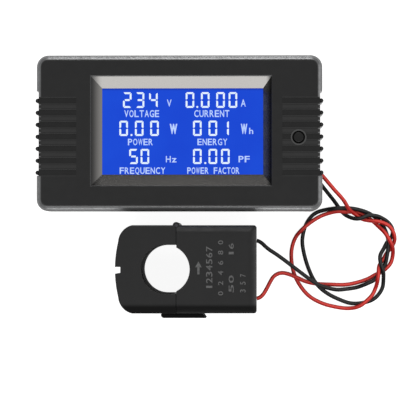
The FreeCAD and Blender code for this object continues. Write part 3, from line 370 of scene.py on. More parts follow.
# %% Table and surroundings
SKY_LIGHT = 0.4
TABLE_HALF = 3.0
TABLE_DROP = 0.02  # so that its top doesn't lie in the pieces' undersides
TABLE_GLOW = 0.92
scene = bpy.context.scene
scene.view_settings.view_transform = "Standard"
world = bpy.data.worlds.new("studio")
world.use_nodes = True
sky = world.node_tree.nodes["Background"].inputs
sky["Color"].default_value = (1, 1, 1, 1)
sky["Strength"].default_value = SKY_LIGHT
scene.world = world
table_mesh = bpy.data.meshes.new("table")
table_mesh.from_pydata([(x * TABLE_HALF, y * TABLE_HALF, -TABLE_DROP * MM)
                        for x, y in ((-1, -1), (1, -1), (1, 1), (-1, 1))], [], [(0, 1, 2, 3)])
white, white_shader = finish_named("table_white", 0.9)
dye(white, white_shader, ramp(white, noise(white, 40.0), grey(0.48), grey(0.52)))
shine(white_shader, 0.0)
ray = add(white, "LightPath").outputs
seen = calculate(white, "ADD", ray["Is Camera Ray"], ray["Is Glossy Ray"])
seen = calculate(white, "ADD", seen, ray["Is Transmission Ray"])
glow = add(white, "Emission")
wire(white, calculate(white, "MULTIPLY", seen, TABLE_GLOW), glow.inputs["Strength"])
both = add(white, "AddShader")
wire(white, white_shader.outputs["BSDF"], both.inputs[0])
wire(white, glow.outputs["Emission"], both.inputs[1])
wire(white, both.outputs["Shader"], white.node_tree.nodes["Material Output"].inputs["Surface"])
show("table", table_mesh, white, None)
print("table", 2 * TABLE_HALF, "m across")

# %% [markdown]
# ## The lamps
# A small low lamp and a tall soft one behind the meter make the bright line along its upper
# edge. Two in front make the lower line, and the upper slope of the screen's frame mirrors the
# higher one. Large weak lamps at the sides light the short edges. None of them stands where the
# flat faces would mirror it to the camera, so the faces stay an even dark grey.


# %% Hang the lamps
def lamp(name, place, width, height, brightness):
    """A rectangular lamp in metres, aimed at the middle, of this brightness over its face."""
    data = bpy.data.lights.new(name, "AREA")
    data.shape = "RECTANGLE"
    data.size = width
    data.size_y = height
    data.energy = brightness * math.pi * width * height
    item = bpy.data.objects.new(name, data)
    item.location = place
    aim = Vector(in_metres(VIEW_MIDDLE)) - item.location
    item.rotation_euler = aim.to_track_quat("-Z", "Y").to_euler()
    scene.collection.objects.link(item)


lamp("strip_above", (0.0, 1.0, 0.06), 0.3, 0.12, 10.0)
lamp("soft_above", (0.0, 0.76, 0.69), 0.24, 0.58, 7.0)
lamp("low_below", (0.0, -0.95, 0.33), 0.4, 0.4, 3.5)
lamp("high_below", (0.0, -0.46, 0.9), 0.6, 0.26, 5.0)
lamp("soft_right", (0.91, 0.0, 0.44), 0.6, 0.85, 1.1)
lamp("soft_left", (-0.85, 0.0, 0.56), 0.6, 0.8, 0.35)

# %% [markdown]
# ## The housing
# Front and back shells are black plastic with a fine moulded grain. A mould leaves small
# differences of tone and gloss, and the rounded rims get a patchy, painted grey highlight. A
# place that differs needs a mask, a number that is 1 there and 0 elsewhere. It comes from the
# piece's own millimetres, as for the opening round the screen, or from how far the surface turns
# away from the face, as for the rims.


# %% Helpers for masks
def times(finish, first, *others):
    """The product of masks."""
    for other in others:
        first = calculate(finish, "MULTIPLY", first, other)
    return first


def millimetres(finish):
    """The place on the object along x, y and z, in millimetres."""
    scale = add(finish, "VectorMath", operation="SCALE")
    scale.inputs["Scale"].default_value = 1 / MM
    wire(finish, add(finish, "TexCoord").outputs["Object"], scale.inputs[0])
    parts = add(finish, "SeparateXYZ")
    wire(finish, scale.outputs["Vector"], parts.inputs[0])
    return parts.outputs


def between(finish, value, low, high, soft=0.05):
    """One where the value lies between the two, with soft ends."""
    return times(finish, rise(finish, value, low - soft, low + soft),
                 rise(finish, value, high + soft, high - soft))


print("masks ready")

# %% Finish of the shells
FACE_Z = 24.4
RECESS_X = (-27.9, 29.06)
RECESS_Y = (-16.64, 18.06)
RIM_HIGHLIGHT_GREY = (0.19, 0.192, 0.195)


def moulded(name, dark, light, roughness, grain=0.14, depth=0.006):
    """Moulded plastic: a slow drift of tone, uneven gloss and a fine grain."""
    finish, shader = finish_named(name, roughness)
    tone = ramp(finish, noise(finish, 9.0, 4.0), dark, light)
    dye(finish, shader, tone)
    uneven(finish, shader, roughness, 0.04)
    bump(finish, shader, noise(finish, grain, 2.0), depth)
    return finish, shader, tone


shell, shell_shader, shell_tone = moulded(
    "housing_plastic", (0.0078, 0.0078, 0.0080), (0.0086, 0.0086, 0.0088), 0.3)
shine(shell_shader, 0.5)
along_x, along_y, along_z = millimetres(shell)
in_recess = times(shell, between(shell, along_x, *RECESS_X), between(shell, along_y, *RECESS_Y))
facing = add(shell, "SeparateXYZ")
wire(shell, add(shell, "TexCoord").outputs["Normal"], facing.inputs[0])
rim = times(shell, rise(shell, facing.outputs["Z"], 0.4, 0.7),
            rise(shell, facing.outputs["Z"], 0.998, 0.91),
            calculate(shell, "SUBTRACT", 1.0, in_recess))
# painted highlight on the rims: a patchy light grey in place of the dark plastic
rim_highlight = times(shell, rim, rise(shell, noise(shell, 1.2), 0.3, 0.6, 0.8, 1.0))
shell_tone = mix_colours(shell, rim_highlight, shell_tone, RIM_HIGHLIGHT_GREY)
print("recess", RECESS_X, RECESS_Y)

# %% [markdown]
# ### Grips
# Shallow grooves cross both ends of the face, in line with the ribs on the sides. Their floors
# get painted shade, a thin painted highlight runs along each edge and the lands between get
# painted light that makes them slightly paler, all from the distance to the nearest groove's
# middle line.

# %% Grooves of the grips
GRIP_START_X = 32.3
RIB_MIDDLE_Y = -1.11
RIB_PITCH = 3.76
RIB_ENDS_Y = (-13.6, 11.4)
from_groove = calculate(shell, "PINGPONG", calculate(shell, "SUBTRACT", along_y, RIB_MIDDLE_Y),
                        RIB_PITCH / 2)
on_grip = times(shell, rise(shell, calculate(shell, "ABSOLUTE", along_x), GRIP_START_X - 0.1,
                            GRIP_START_X + 0.1),
                between(shell, along_y, *RIB_ENDS_Y),
                rise(shell, along_z, FACE_Z - 1.2, FACE_Z - 0.8))
groove_floor_shade = rise(shell, from_groove, 0.8, 0.65)
groove_edge_highlight = between(shell, from_groove, 0.92, 1.12, 0.08)
land_light = rise(shell, from_groove, 1.35, 1.5)
# painted shade on the groove floors, a painted highlight along their edges and painted light on the
# lands
for mask, tone in ((groove_floor_shade, 0.004), (groove_edge_highlight, 0.027), (land_light, 0.019)):
    shell_tone = mix_colours(shell, times(shell, on_grip, mask), shell_tone, grey(tone))
print("grooves", RIB_PITCH, "mm apart")

# %% [markdown]
# ### Ring and hole of the button
# A raised ring round the button is lighter grey, and the wall of the hole inside it has
# painted shade: it is coloured black. Both are found by their distance from the button's middle
# and by their height.

# %% Ring and hole
BUTTON_PLACE = (37.33, -1.34)
HOLE_RADIUS = 2.0
RING_RADII = (2.05, 2.5)
HOLE_DEPTH = 4.5


def distance_from(finish, place, along):
    """How far the surface lies from an upright line at this place, in millimetres."""
    reach = add(finish, "CombineXYZ")
    for socket, axis, middle in zip(reach.inputs, along, place):
        wire(finish, calculate(finish, "SUBTRACT", axis, middle), socket)
    length = add(finish, "VectorMath", operation="LENGTH")
    wire(finish, reach.outputs[0], length.inputs[0])
    return length.outputs["Value"]


from_button = distance_from(shell, BUTTON_PLACE, (along_x, along_y))
ring = times(shell, between(shell, from_button, *RING_RADII, 0.06),
             rise(shell, along_z, FACE_Z - 0.3, FACE_Z - 0.1))
shell_tone = mix_colours(shell, ring, shell_tone, grey(0.06))
# painted shade: the wall of the button's hole is coloured black
hole_shade = times(shell, rise(shell, from_button, HOLE_RADIUS, HOLE_RADIUS - 0.1),
             rise(shell, along_z, FACE_Z - HOLE_DEPTH - 0.5, FACE_Z - HOLE_DEPTH))
shell_tone = mix_colours(shell, hole_shade, shell_tone, grey(0.001))
print("ring", RING_RADII, "mm from the button's middle")

# %% [markdown]
# ### The sloped frame
# The frame round the screen is a polished grey trim, which mirrors like metal, with painted
# shade that darkens its short sides towards their outer edges. The rims with the painted
# highlight mirror a little too.

# %% Polish of the frame
SLOPE_DEPTHS = (4.2, 0.2)


def gloss_inside(finish, shader, mask, roughness):
    """Another roughness inside a mask than the shader already has outside it."""
    mixed = add(finish, "Mix", data_type="FLOAT")
    wire(finish, mask, mixed.inputs[0])
    wire(finish, shader.inputs["Roughness"].links[0].from_socket, mixed.inputs[2])
    mixed.inputs[3].default_value = roughness
    wire(finish, mixed.outputs[0], shader.inputs["Roughness"])


polished = times(shell, in_recess, between(shell, along_z, FACE_Z - SLOPE_DEPTHS[0],
                                           FACE_Z - SLOPE_DEPTHS[1], 0.1))
# painted shade: the trim's short sides darken towards their outer edges
short_sides_shade = calculate(shell, "MAXIMUM", rise(shell, along_x, -24.0, -28.0),
                        rise(shell, along_x, 27.0, 28.9))
trim = mix_colours(shell, short_sides_shade, (0.145, 0.141, 0.136), grey(0.02))
shell_tone = mix_colours(shell, polished, shell_tone, trim)
dye(shell, shell_shader, shell_tone)
# the rims with the painted highlight are also partly metallic, so they mirror a little
wire(shell, calculate(shell, "MULTIPLY_ADD", rim_highlight, 0.65, polished),
     shell_shader.inputs["Metallic"])
uneven(shell, shell_shader, 0.295, 0.015)
gloss_inside(shell, shell_shader, polished, 0.14)
print("slopes from", SLOPE_DEPTHS, "mm under the face")

# %% [markdown]
# ## The current clamp
# Both halves and the latch are the same black nylon, duller than the meter, with a coarser
# grain. The wall of the round window and the lower edge get painted shade: they are coloured
# nearly black and made fully rough.

# %% Finish of the clamp
CLAMP_FACE_Z = 31.0
WINDOW_PLACE = (-4.2, -42.6)
WINDOW_RADIUS = 7.6
LOWER_EDGE_Y = -53.0
clamp, clamp_shader, clamp_tone = moulded(
    "clamp_plastic", (0.0065, 0.0065, 0.0067), (0.008, 0.008, 0.0082), 0.52,
    grain=0.22, depth=0.014)
shine(clamp_shader, 0.35)
clamp_x, clamp_y, clamp_z = millimetres(clamp)
from_window = distance_from(clamp, WINDOW_PLACE, (clamp_x, clamp_y))
in_window = times(clamp, rise(clamp, from_window, WINDOW_RADIUS + 0.7, WINDOW_RADIUS + 0.1),
                  rise(clamp, clamp_z, CLAMP_FACE_Z - 0.1, CLAMP_FACE_Z - 0.4))
# painted shade: the window's wall and the lower edge are coloured nearly black
window_and_edge_shade = calculate(clamp, "MAXIMUM", in_window,
                   rise(clamp, clamp_y, LOWER_EDGE_Y, LOWER_EDGE_Y - 1.5))
dye(clamp, clamp_shader, mix_colours(clamp, window_and_edge_shade, clamp_tone, grey(0.001)))
gloss_inside(clamp, clamp_shader, window_and_edge_shade, 1.0)
print(clamp.name, "on", clamp.users, "pieces")

# %% [markdown]
# ## The lit screen
# A blue backlight shines through the whole screen, and the characters are clear gaps in it.
# So the film itself glows blue, a little darker under its upper edge, where the frame shades it.

# %% Finish of the lit screen
SHADED_Y = (13.3, 14.2)
film, film_shader = finish_named("screen_film", 0.3, colour=(0.002, 0.006, 0.05))
film_shader.inputs["Emission Strength"].default_value = 1.0
shine(film_shader, 0.2)
backlight = ramp(film, noise(film, 14.0, 2.0), (0.0025, 0.052, 0.60), (0.004, 0.064, 0.64))
backlight = mix_colours(film, rise(film, millimetres(film)[1], *SHADED_Y), backlight,
                        (0.004, 0.03, 0.38))
wire(film, backlight, film_shader.inputs["Emission Color"])
print("screen glows, shaded from", SHADED_Y[0], "mm up")

# %% [markdown]
# ### Seven-bar numbers
# Every digit is made of the same few straight bars with mitred ends, so a tree of geometry
# nodes draws them: five small outlines, filled, set at points and given their thickness. Each
# point says which outline it takes and how far that is turned. The points come from the list
# of readings, worked out from the digit's corner, its width and its height.

# %% Where the bars stand
SCREEN_TOP_Z = 20.9
DIGIT_WIDTH = 2.7
STROKE = 0.59
BAR_GAP = 0.075
CAP, SIDE_A, SIDE_B, MIDDLE, DOT = range(5)
BARS_OF = {"0": "abcdef", "1": "bc", "2": "abged", "3": "abgcd", "4": "fgbc", "5": "afgcd"}
READINGS = [  # (digits, left edges, dots, top, bottom)
    ("234", (-17.8, -13.78, -9.57), (), 12.98, 8.05),
    ("0000", (1.92, 6.72, 11.53, 15.42), (5.58,), 12.98, 8.05),
    ("000", (-18.93, -14.03, -9.23), (-15.12,), 4.03, -0.77),
    ("001", (4.24, 9.11, 12.8), (), 4.03, -0.77),
    ("50", (-15.82, -12.24), (), -4.85, -9.6),
    ("000", (4.24, 9.11, 13.04), (8.09,), -4.85, -9.6),
]


def bar_points(digit, left, top, bottom):
    """Place, kind and turn of every bar of one digit."""
    middle_x, right = left + DIGIT_WIDTH / 2, left + DIGIT_WIDTH
    middle_y, half = (top + bottom) / 2, (top - bottom) / 2
    upper, lower = middle_y + half / 2 - STROKE / 4, middle_y - half / 2 + STROKE / 4
    inset = STROKE / 2
    places = {
        "a": [(middle_x, top - inset, CAP, 0)], "d": [(middle_x, bottom + inset, CAP, 180)],
        "f": [(left + inset, upper, SIDE_A, 90)], "c": [(right - inset, lower, SIDE_A, -90)],
        "b": [(right - inset, upper, SIDE_B, -90)], "e": [(left + inset, lower, SIDE_B, 90)],
        "g": [(middle_x, middle_y + inset / 2, MIDDLE, 0),
              (middle_x, middle_y - inset / 2, MIDDLE, 180)],
    }
    return [place for bar in BARS_OF[digit] for place in places[bar]]


points = []
for digits, lefts, dots, top, bottom in READINGS:
    for digit, left in zip(digits, lefts):
        points += bar_points(digit, left, top, bottom)
    points += [(x, bottom + STROKE / 2, DOT, 0) for x in dots]
DIGIT_HEIGHT = READINGS[0][3] - READINGS[0][4]
print("bars and dots:", len(points))


# %% The tree that draws the bars
def number_tree(finish):
    """Geometry nodes that put a mitred bar on every point and give it its thickness."""
    tree = bpy.data.node_groups.new("mitred_bars", "GeometryNodeTree")

    def new_socket(name, way, kind):
        return tree.interface.new_socket(name, in_out=way, socket_type="NodeSocket" + kind)

    new_socket("Geometry", "INPUT", "Geometry")
    sockets = {name: new_socket(name, "INPUT", "Float") for name in (
        "Digit width", "Digit height", "Stroke", "Gap", "Corner cut", "Thickness")}
    new_socket("Geometry", "OUTPUT", "Geometry")
    given = tree.nodes.new("NodeGroupInput").outputs
    result = tree.nodes.new("NodeGroupOutput")

    def node(kind, links=(), **settings):
        made = tree.nodes.new(kind)
        for name, value in settings.items():
            setattr(made, name, value)
        for socket, source in dict(links).items():
            if isinstance(source, (int, float)):
                made.inputs[socket].default_value = source
            else:
                tree.links.new(source, made.inputs[socket])
        return made

    def sum_of(first, second, factor=1.0):
        """First plus factor times second."""
        return node("ShaderNodeMath", {0: second, 1: factor, 2: first},
                    operation="MULTIPLY_ADD").outputs[0]

    stroke, gap = given["Stroke"], given["Gap"]
    cap_long = sum_of(given["Digit width"], gap, -2.0)
    half_height = sum_of(0.0, given["Digit height"], 0.5)
    side_long = sum_of(half_height, gap, -2.0)
    middle_long = sum_of(cap_long, stroke, -1.0)
    side = (stroke, sum_of(side_long, stroke, -1.5), side_long)
    outlines = {  # kind: (height, bottom width, top width, offset)
        CAP: (stroke, sum_of(cap_long, stroke, -2.0), cap_long, 0.0),
        SIDE_A: (*side, sum_of(0.0, stroke, 0.25)),
        SIDE_B: (*side, sum_of(0.0, stroke, -0.25)),
        MIDDLE: (sum_of(0.0, stroke, 0.5), middle_long, sum_of(middle_long, stroke, -1.0), 0.0),
        DOT: (stroke, stroke, stroke, 0.0),
    }

    def named(name, kind):
        attribute = node("GeometryNodeInputNamedAttribute", data_type=kind)
        attribute.inputs["Name"].default_value = name
        return next(output for output in attribute.outputs
                    if output.name == "Attribute" and output.enabled)

    turn = node("ShaderNodeCombineXYZ", {"Z": named("turn", "FLOAT")}).outputs[0]
    joined = node("GeometryNodeJoinGeometry")
    for kind, (height, bottom, top, offset) in outlines.items():
        outline = node("GeometryNodeCurvePrimitiveQuadrilateral",
                       {"Height": height, "Bottom Width": bottom, "Top Width": top,
                        "Offset": offset}, mode="TRAPEZOID").outputs[0]
        cut = node("GeometryNodeFilletCurve", {
            "Curve": outline, "Radius": given["Corner cut"], "Limit Radius": True}, mode="POLY")
        filled = node("GeometryNodeFillCurve", {"Curve": cut.outputs[0]}, mode="NGONS").outputs[0]
        chosen = node("ShaderNodeMath", {0: named("kind", "FLOAT"), 1: float(kind), 2: 0.1},
                      operation="COMPARE").outputs[0]
        placed = node("GeometryNodeInstanceOnPoints", {
            "Points": given["Geometry"], "Selection": chosen, "Instance": filled, "Rotation": turn})
        tree.links.new(placed.outputs[0], joined.inputs[0])
    flat = node("GeometryNodeRealizeInstances", {0: joined.outputs[0]}).outputs[0]
    raised = node("GeometryNodeExtrudeMesh", {
        "Mesh": flat, "Offset Scale": given["Thickness"], "Individual": False}, mode="FACES")
    closed = node("GeometryNodeJoinGeometry")
    for part in (raised.outputs["Mesh"], node("GeometryNodeFlipFaces", {0: flat}).outputs[0]):
        tree.links.new(part, closed.inputs[0])
    welded = node("GeometryNodeMergeByDistance", {
        "Geometry": closed.outputs[0], "Distance": 0.001 * MM})
    coloured = node("GeometryNodeSetMaterial", {"Geometry": welded.outputs[0]})
    coloured.inputs["Material"].default_value = finish
    tree.links.new(coloured.outputs[0], result.inputs[0])
    return tree, sockets


print("tree ready")

# %% [markdown]
# ### Glow of the characters
# Digits are almost white. The words under them are thinner and let less light through, so they
# look a paler blue.


# %% Light of digits and words
def lit(name, dim, bright):
    """Clear gaps with the backlight behind them."""
    finish, shader = finish_named(name, 0.4, colour=(0.02, 0.03, 0.06))
    shader.inputs["Emission Strength"].default_value = 1.0
    shine(shader, 0.1)
    wire(finish, ramp(finish, noise(finish, 3.0), dim, bright, 0.35),
         shader.inputs["Emission Color"])
    return finish


lit_digits = lit("lit_digits", (0.72, 0.86, 0.97), (0.84, 0.93, 1.0))
lit_words = lit("lit_words", (0.42, 0.56, 0.95), (0.52, 0.66, 1.0))
print("lights:", lit_digits.name, lit_words.name)

# %% Draw the digits
LIFT = 0.001  # what lies on a face stands this much off it
CORNER_CUT = 0.11
PRINT_THICKNESS = 0.02
cloud = bpy.data.meshes.new("bar_points")
cloud.from_pydata([in_metres((x, y, SCREEN_TOP_Z + LIFT)) for x, y, _, _ in points], [], [])
for name, values in (("kind", [float(kind) for _, _, kind, _ in points]),
                     ("turn", [math.radians(turn) for _, _, _, turn in points])):
    cloud.attributes.new(name, "FLOAT", "POINT").data.foreach_set("value", values)
digits_source = bpy.data.objects.new("digits_source", cloud)
tree, sockets = number_tree(lit_digits)
modifier = digits_source.modifiers.new("bars", "NODES")
modifier.node_group = tree
for name, size in (("Digit width", DIGIT_WIDTH), ("Digit height", DIGIT_HEIGHT),
                   ("Stroke", STROKE), ("Gap", BAR_GAP), ("Corner cut", CORNER_CUT),
                   ("Thickness", PRINT_THICKNESS)):
    modifier[sockets[name].identifier] = size * MM
digits = show("screen_digits", as_mesh(digits_source), lit_digits, "meter")
print("digits:", len(digits.data.polygons), "faces")

# %% [markdown]
# ### Words and units
# The words are plain block letters, all as wide as each other, so each letter is drawn alone
# and fitted into its own cell. Text becomes a mesh first, and then its points are moved to
# their place.


# %% Letters fitted into cells
LETTER_SHARE = 0.84
NARROW_SHARE = 0.45
WEIGHT, WEIGHT_OF_W = 0.016, 0.065


def letter_mesh(letter, weight):
    """One letter as a closed solid from -0.5 to 0.5 in z, made bolder by its weight."""
    text = bpy.data.curves.new("letter", "FONT")
    text.body = letter
    text.offset = weight
    text.extrude = 0.5
    text.resolution_u = 3
    return as_mesh(bpy.data.objects.new("letter", text))


def mesh_of(built, name):
    """The built faces as a mesh, all facing outwards."""
    bmesh.ops.recalc_face_normals(built, faces=built.faces)
    mesh = bpy.data.meshes.new(name)
    built.to_mesh(mesh)
    built.free()
    return mesh


def write_word(name, word, x0, x1, y0, y1, z, finish, body, weight=WEIGHT, share=LETTER_SHARE,
               turned=False):
    """The word between x0 and x1, standing on y0, with capitals up to y1, at the height z."""
    built = bmesh.new()
    cell = (x1 - x0) / (len(word) - 1 + share)
    capital = letter_mesh("E", weight)
    top = max(vertex.co.y for vertex in capital.vertices)
    foot = min(vertex.co.y for vertex in capital.vertices)
    for place, letter in enumerate(word):
        if letter == " ":
            continue
        mesh = letter_mesh(letter, weight)
        low = min(vertex.co.x for vertex in mesh.vertices)
        wide = max(vertex.co.x for vertex in mesh.vertices) - low
        width = cell * share * (NARROW_SHARE if letter in "1I" else 1.0)
        left = x0 + cell * place + (cell * share - width) / 2
        for vertex in mesh.vertices:
            x = left + (vertex.co.x - low) / wide * width
            y = y0 + (vertex.co.y - foot) / (top - foot) * (y1 - y0)
            if turned:
                x, y = -y, x
            vertex.co = in_metres((x, y, z + (vertex.co.z + 0.5) * PRINT_THICKNESS))
        built.from_mesh(mesh)
    bmesh.ops.remove_doubles(built, verts=built.verts, dist=1e-7)
    return show(name, mesh_of(built, name), finish, body)


print("letters fill", LETTER_SHARE, "of their cells")

# %% Write the words
WORDS = [  # (name, word, left, right, foot, top of the capitals)
    ("unit_volts", "V", -3.98, -2.51, 8.43, 10.66),
    ("word_voltage", "VOLTAGE", -17.39, -6.43, 5.16, 7.33),
    ("unit_amperes", "A", 19.25, 20.82, 8.43, 10.66),
    ("word_current", "CURRENT", 4.62, 15.64, 5.16, 7.33),
    ("unit_watts", "W", -3.1, -0.69, -0.18, 3.03),
    ("word_power", "POWER", -16.23, -8.38, -3.69, -1.65),
    ("unit_watt", "W", 19.25, 21.3, -0.18, 3.03),
    ("unit_hours", "h", 21.85, 23.15, -0.18, 1.75),
    ("word_energy", "ENERGY", 5.62, 15.01, -3.69, -1.65),
    ("unit_hertz", "Hz", -4.3, -0.91, -9.09, -7.08),
    ("word_frequency", "FREQUENCY", -18.84, -4.49, -12.7, -10.66),
    ("unit_factor", "PF", 18.53, 22.05, -9.09, -7.08),
    ("word_power_factor", "POWER FACTOR", 2.42, 18.81, -12.7, -10.66),
]
for name, word, *edges in WORDS:
    piece = write_word(name, word, *edges, SCREEN_TOP_Z + LIFT, lit_words, "meter",
                       weight=WEIGHT_OF_W if word == "W" else WEIGHT)
print("words:", len(WORDS))

# %% [markdown]
# ## Marks on the clamp
# Clamps of this kind have small grey printing on the face, which is read from the right. Here
# it is a plain arrow for the direction of the current and plain numbers, in the same columns.

# %% Print the marks
FACE_MM_PER_PX = 0.31
MIDDLE_PX = 200
MIDDLE_X, MIDDLE_Y = 6.41, -20.9
ink, ink_shader = finish_named("print_ink", 0.6)
dye(ink, ink_shader, ramp(ink, noise(ink, 0.5), grey(0.075), grey(0.115), 0.35))


def across(px):
    """From a column of the picture to x on the clamp's face."""
    return MIDDLE_X + (px - MIDDLE_PX) * FACE_MM_PER_PX


def up(px):
    """From a row of the picture to y on the clamp's face."""
    return MIDDLE_Y - (px - MIDDLE_PX) * FACE_MM_PER_PX


MARKS = [  # (name, numbers, left and right column, lower and upper row)
    ("print_first", "1234567", 206.8, 213.0, 290.0, 247.0),
    ("print_second", "0 2 4 6 8 0", 218.8, 223.8, 296.0, 241.0),
    ("print_third", "16", 229.4, 234.4, 256.5, 244.0),
    ("print_fourth", "50", 229.4, 234.4, 293.0, 276.0),
    ("print_fifth", "3 5 7", 240.8, 246.2, 293.0, 274.5),
]
for name, numbers, left, right, low, high in MARKS:
    write_word(name, numbers, up(low), up(high), -across(right), -across(left),
               CLAMP_FACE_Z + LIFT, ink, "clamp_base_half", weight=0.01, share=0.8, turned=True)
arrow = bmesh.new()
outline = [(-0.35, 0), (0.35, 0), (0.35, 2.2), (1.0, 2.2), (0, 4.0), (-1.0, 2.2), (-0.35, 2.2)]
arrow_x, arrow_y = across(199.1), up(275.0)
lower, upper = ([arrow.verts.new(in_metres((arrow_x + x, arrow_y + y, CLAMP_FACE_Z + height)))
                 for x, y in outline] for height in (LIFT, LIFT + PRINT_THICKNESS))
arrow.faces.new(lower)
arrow.faces.new(upper)
for i in range(len(outline)):
    arrow.faces.new((lower[i - 1], lower[i], upper[i], upper[i - 1]))
show("print_arrow", mesh_of(arrow, "print_arrow"), ink, "clamp_base_half")
print("marks:", len(MARKS) + 1)

# %% [markdown]
# ## The button
# A small black cap, smoother than the housing, with a shallow dome.

# %% Finish of the button
cap, cap_shader, _ = moulded("button_plastic", grey(0.003), grey(0.005), 0.45)
shine(cap_shader, 0.3)
print(cap.name, "on", cap.users, "piece")

# %% [markdown]
# ## Inside the meter: the display
# Behind the window lie two sheets of glass, a clear light guide in a white tray, two side
# lamps and two rubber strips that carry the signals. Glass and guide let light through. The
# guide's back has fine dots that send the light forwards, and the strips are made of thin
# conducting layers side by side, so stripes across their length show them.


# %% Finishes of the display stack
def stripes(finish, value, pitch, share):
    """One on stripes that take this share of the pitch, zero between them."""
    half = pitch / 2
    return rise(finish, calculate(finish, "PINGPONG", value, half), half * share * 1.1,
                half * share * 0.9)


def clear(name, tint, roughness, grain, depth):
    """Glass or clear plastic that lets most light through."""
    finish, shader = finish_named(name, roughness, colour=tint)
    shader.inputs["Transmission Weight"].default_value = 0.9
    uneven(finish, shader, roughness + 0.03, 0.03, 4.0)
    bump(finish, shader, noise(finish, grain, 2.0), depth)
    return finish, shader


DOT_PITCH = 1.2
LAYER_PITCH = 0.4
clear("screen_glass", (0.88, 0.93, 0.92), 0.04, 6.0, 0.002)
guide, guide_shader = clear("guide_plastic", (0.93, 0.95, 0.95), 0.12, 0.5, 0.004)
dots = add(guide, "TexVoronoi")
dots.inputs["Scale"].default_value = 1 / (DOT_PITCH * MM)
wire(guide, add(guide, "TexCoord").outputs["Object"], dots.inputs["Vector"])
dye(guide, guide_shader, mix_colours(guide, rise(guide, dots.outputs["Distance"], 0.2, 0.3),
                                     grey(0.98), (0.86, 0.90, 0.92)))
moulded("tray_plastic", (0.72, 0.72, 0.70), (0.80, 0.80, 0.79), 0.45)
moulded("lamp_resin", (0.75, 0.62, 0.16), (0.85, 0.74, 0.28), 0.25, grain=0.1)
rubber, rubber_shader = finish_named("strip_rubber", 0.7)
dye(rubber, rubber_shader,
    mix_colours(rubber, stripes(rubber, millimetres(rubber)[0], LAYER_PITCH, 0.5),
                (0.35, 0.16, 0.17), grey(0.012)))
bump(rubber, rubber_shader, noise(rubber, 0.2), 0.01)
print("display stack finished")

# %% [markdown]
# ## The circuit board
# Green lacquer over woven glass cloth, with copper under it that shows lighter. The copper is
# drawn as square fields, some with tracks along the board, some across it and some all copper.
# The weave is two sets of stripes at a right angle, as a shallow bump. The bare edge of the
# board is the pale yellow of the laminate.

# %% Finish of the board
TRACK_PITCH = 1.27
WEAVE_PITCH = 0.5
FIELD_SIZE = 7.0
BOARD_TOP_Z, BOARD_BOTTOM_Z = 14.8, 13.2
board, board_shader = finish_named("board_laminate", 0.3)
board_x, board_y, board_z = millimetres(board)
fields = add(board, "TexVoronoi", distance="CHEBYCHEV")
fields.inputs["Scale"].default_value = 1 / (FIELD_SIZE * MM)
wire(board, add(board, "TexCoord").outputs["Object"], fields.inputs["Vector"])
field = add(board, "SeparateXYZ")
wire(board, fields.outputs["Color"], field.inputs[0])
lengthwise = rise(board, field.outputs["X"], 0.49, 0.51)
tracks = calculate(board, "ADD",
                   times(board, lengthwise, stripes(board, board_y, TRACK_PITCH, 0.45)),
                   times(board, calculate(board, "SUBTRACT", 1.0, lengthwise),
                         stripes(board, board_x, TRACK_PITCH, 0.45)))
tracks = calculate(board, "MAXIMUM", tracks, rise(board, field.outputs["Y"], 0.72, 0.74))
lacquer = mix_colours(board, tracks, (0.008, 0.085, 0.03), (0.018, 0.14, 0.052))
on_faces = calculate(board, "MAXIMUM",
                     rise(board, board_z, BOARD_TOP_Z - 0.08, BOARD_TOP_Z - 0.04),
                     rise(board, board_z, BOARD_BOTTOM_Z + 0.08, BOARD_BOTTOM_Z + 0.04))
dye(board, board_shader, mix_colours(board, on_faces, (0.42, 0.36, 0.17), lacquer))
weave = calculate(board, "ADD", stripes(board, board_x, WEAVE_PITCH, 0.5),
                  stripes(board, board_y, WEAVE_PITCH, 0.5))
bump(board, board_shader, weave, 0.01)
uneven(board, board_shader, 0.28, 0.06)
print("weave", WEAVE_PITCH, "mm, tracks", TRACK_PITCH, "mm")

# %% [markdown]
# ### Chips and small resistors
# Moulded chips are dull black with tinned legs. The legs belong to the same solid, so the
# change from resin to tin is drawn by the body's half width, and on the small resistors by the
# distance from the end of each.


# %% Finishes of chips and resistors
def resin_and_tin(name, piece, tin_mask):
    """Black resin with tin where the mask says so, for one piece."""
    finish, shader = finish_named(name, 0.6)
    tin = tin_mask(finish)
    resin = ramp(finish, noise(finish, 0.8), (0.012, 0.012, 0.013), grey(0.022))
    dye(finish, shader, mix_colours(finish, tin, resin, (0.62, 0.61, 0.59)))
    wire(finish, tin, shader.inputs["Metallic"])
    uneven(finish, shader, 0.5, 0.1, 0.6)
    bump(finish, shader, noise(finish, 0.15), 0.01)
    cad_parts[piece].material_slots[0].material = finish


def outside_body(middle, half):
    """A mask for what lies further from the middle, along y, than half the body's width."""
    return lambda finish: rise(finish, calculate(finish, "ABSOLUTE", calculate(
        finish, "SUBTRACT", millimetres(finish)[1], middle)), half - 0.03, half + 0.03)


RESISTOR_MIDDLE_X, RESISTOR_PITCH, RESISTOR_HALF = -23.0, 4.0, 1.0
resin_and_tin("controller_resin", "controller_chip", outside_body(-7.0, 4.0))
resin_and_tin("metering_resin", "metering_chip", outside_body(9.0, 2.0))
resin_and_tin("resistor_ends", "chip_resistors", lambda finish: rise(finish, calculate(
    finish, "PINGPONG", calculate(finish, "SUBTRACT", millimetres(finish)[0], RESISTOR_MIDDLE_X),
    RESISTOR_PITCH / 2), RESISTOR_HALF - 0.4, RESISTOR_HALF - 0.36))
print("chips and resistors finished")

# %% [markdown]
# ### The taller parts
# Each has its usual skin: a drawn steel can on the crystal, a dark printed sleeve on the storage
# capacitor with its bare aluminium ends, a yellow moulded case on the film capacitor, grey paint
# with colour rings on the fusible resistor, and lumpy blue lacquer on the surge disc.


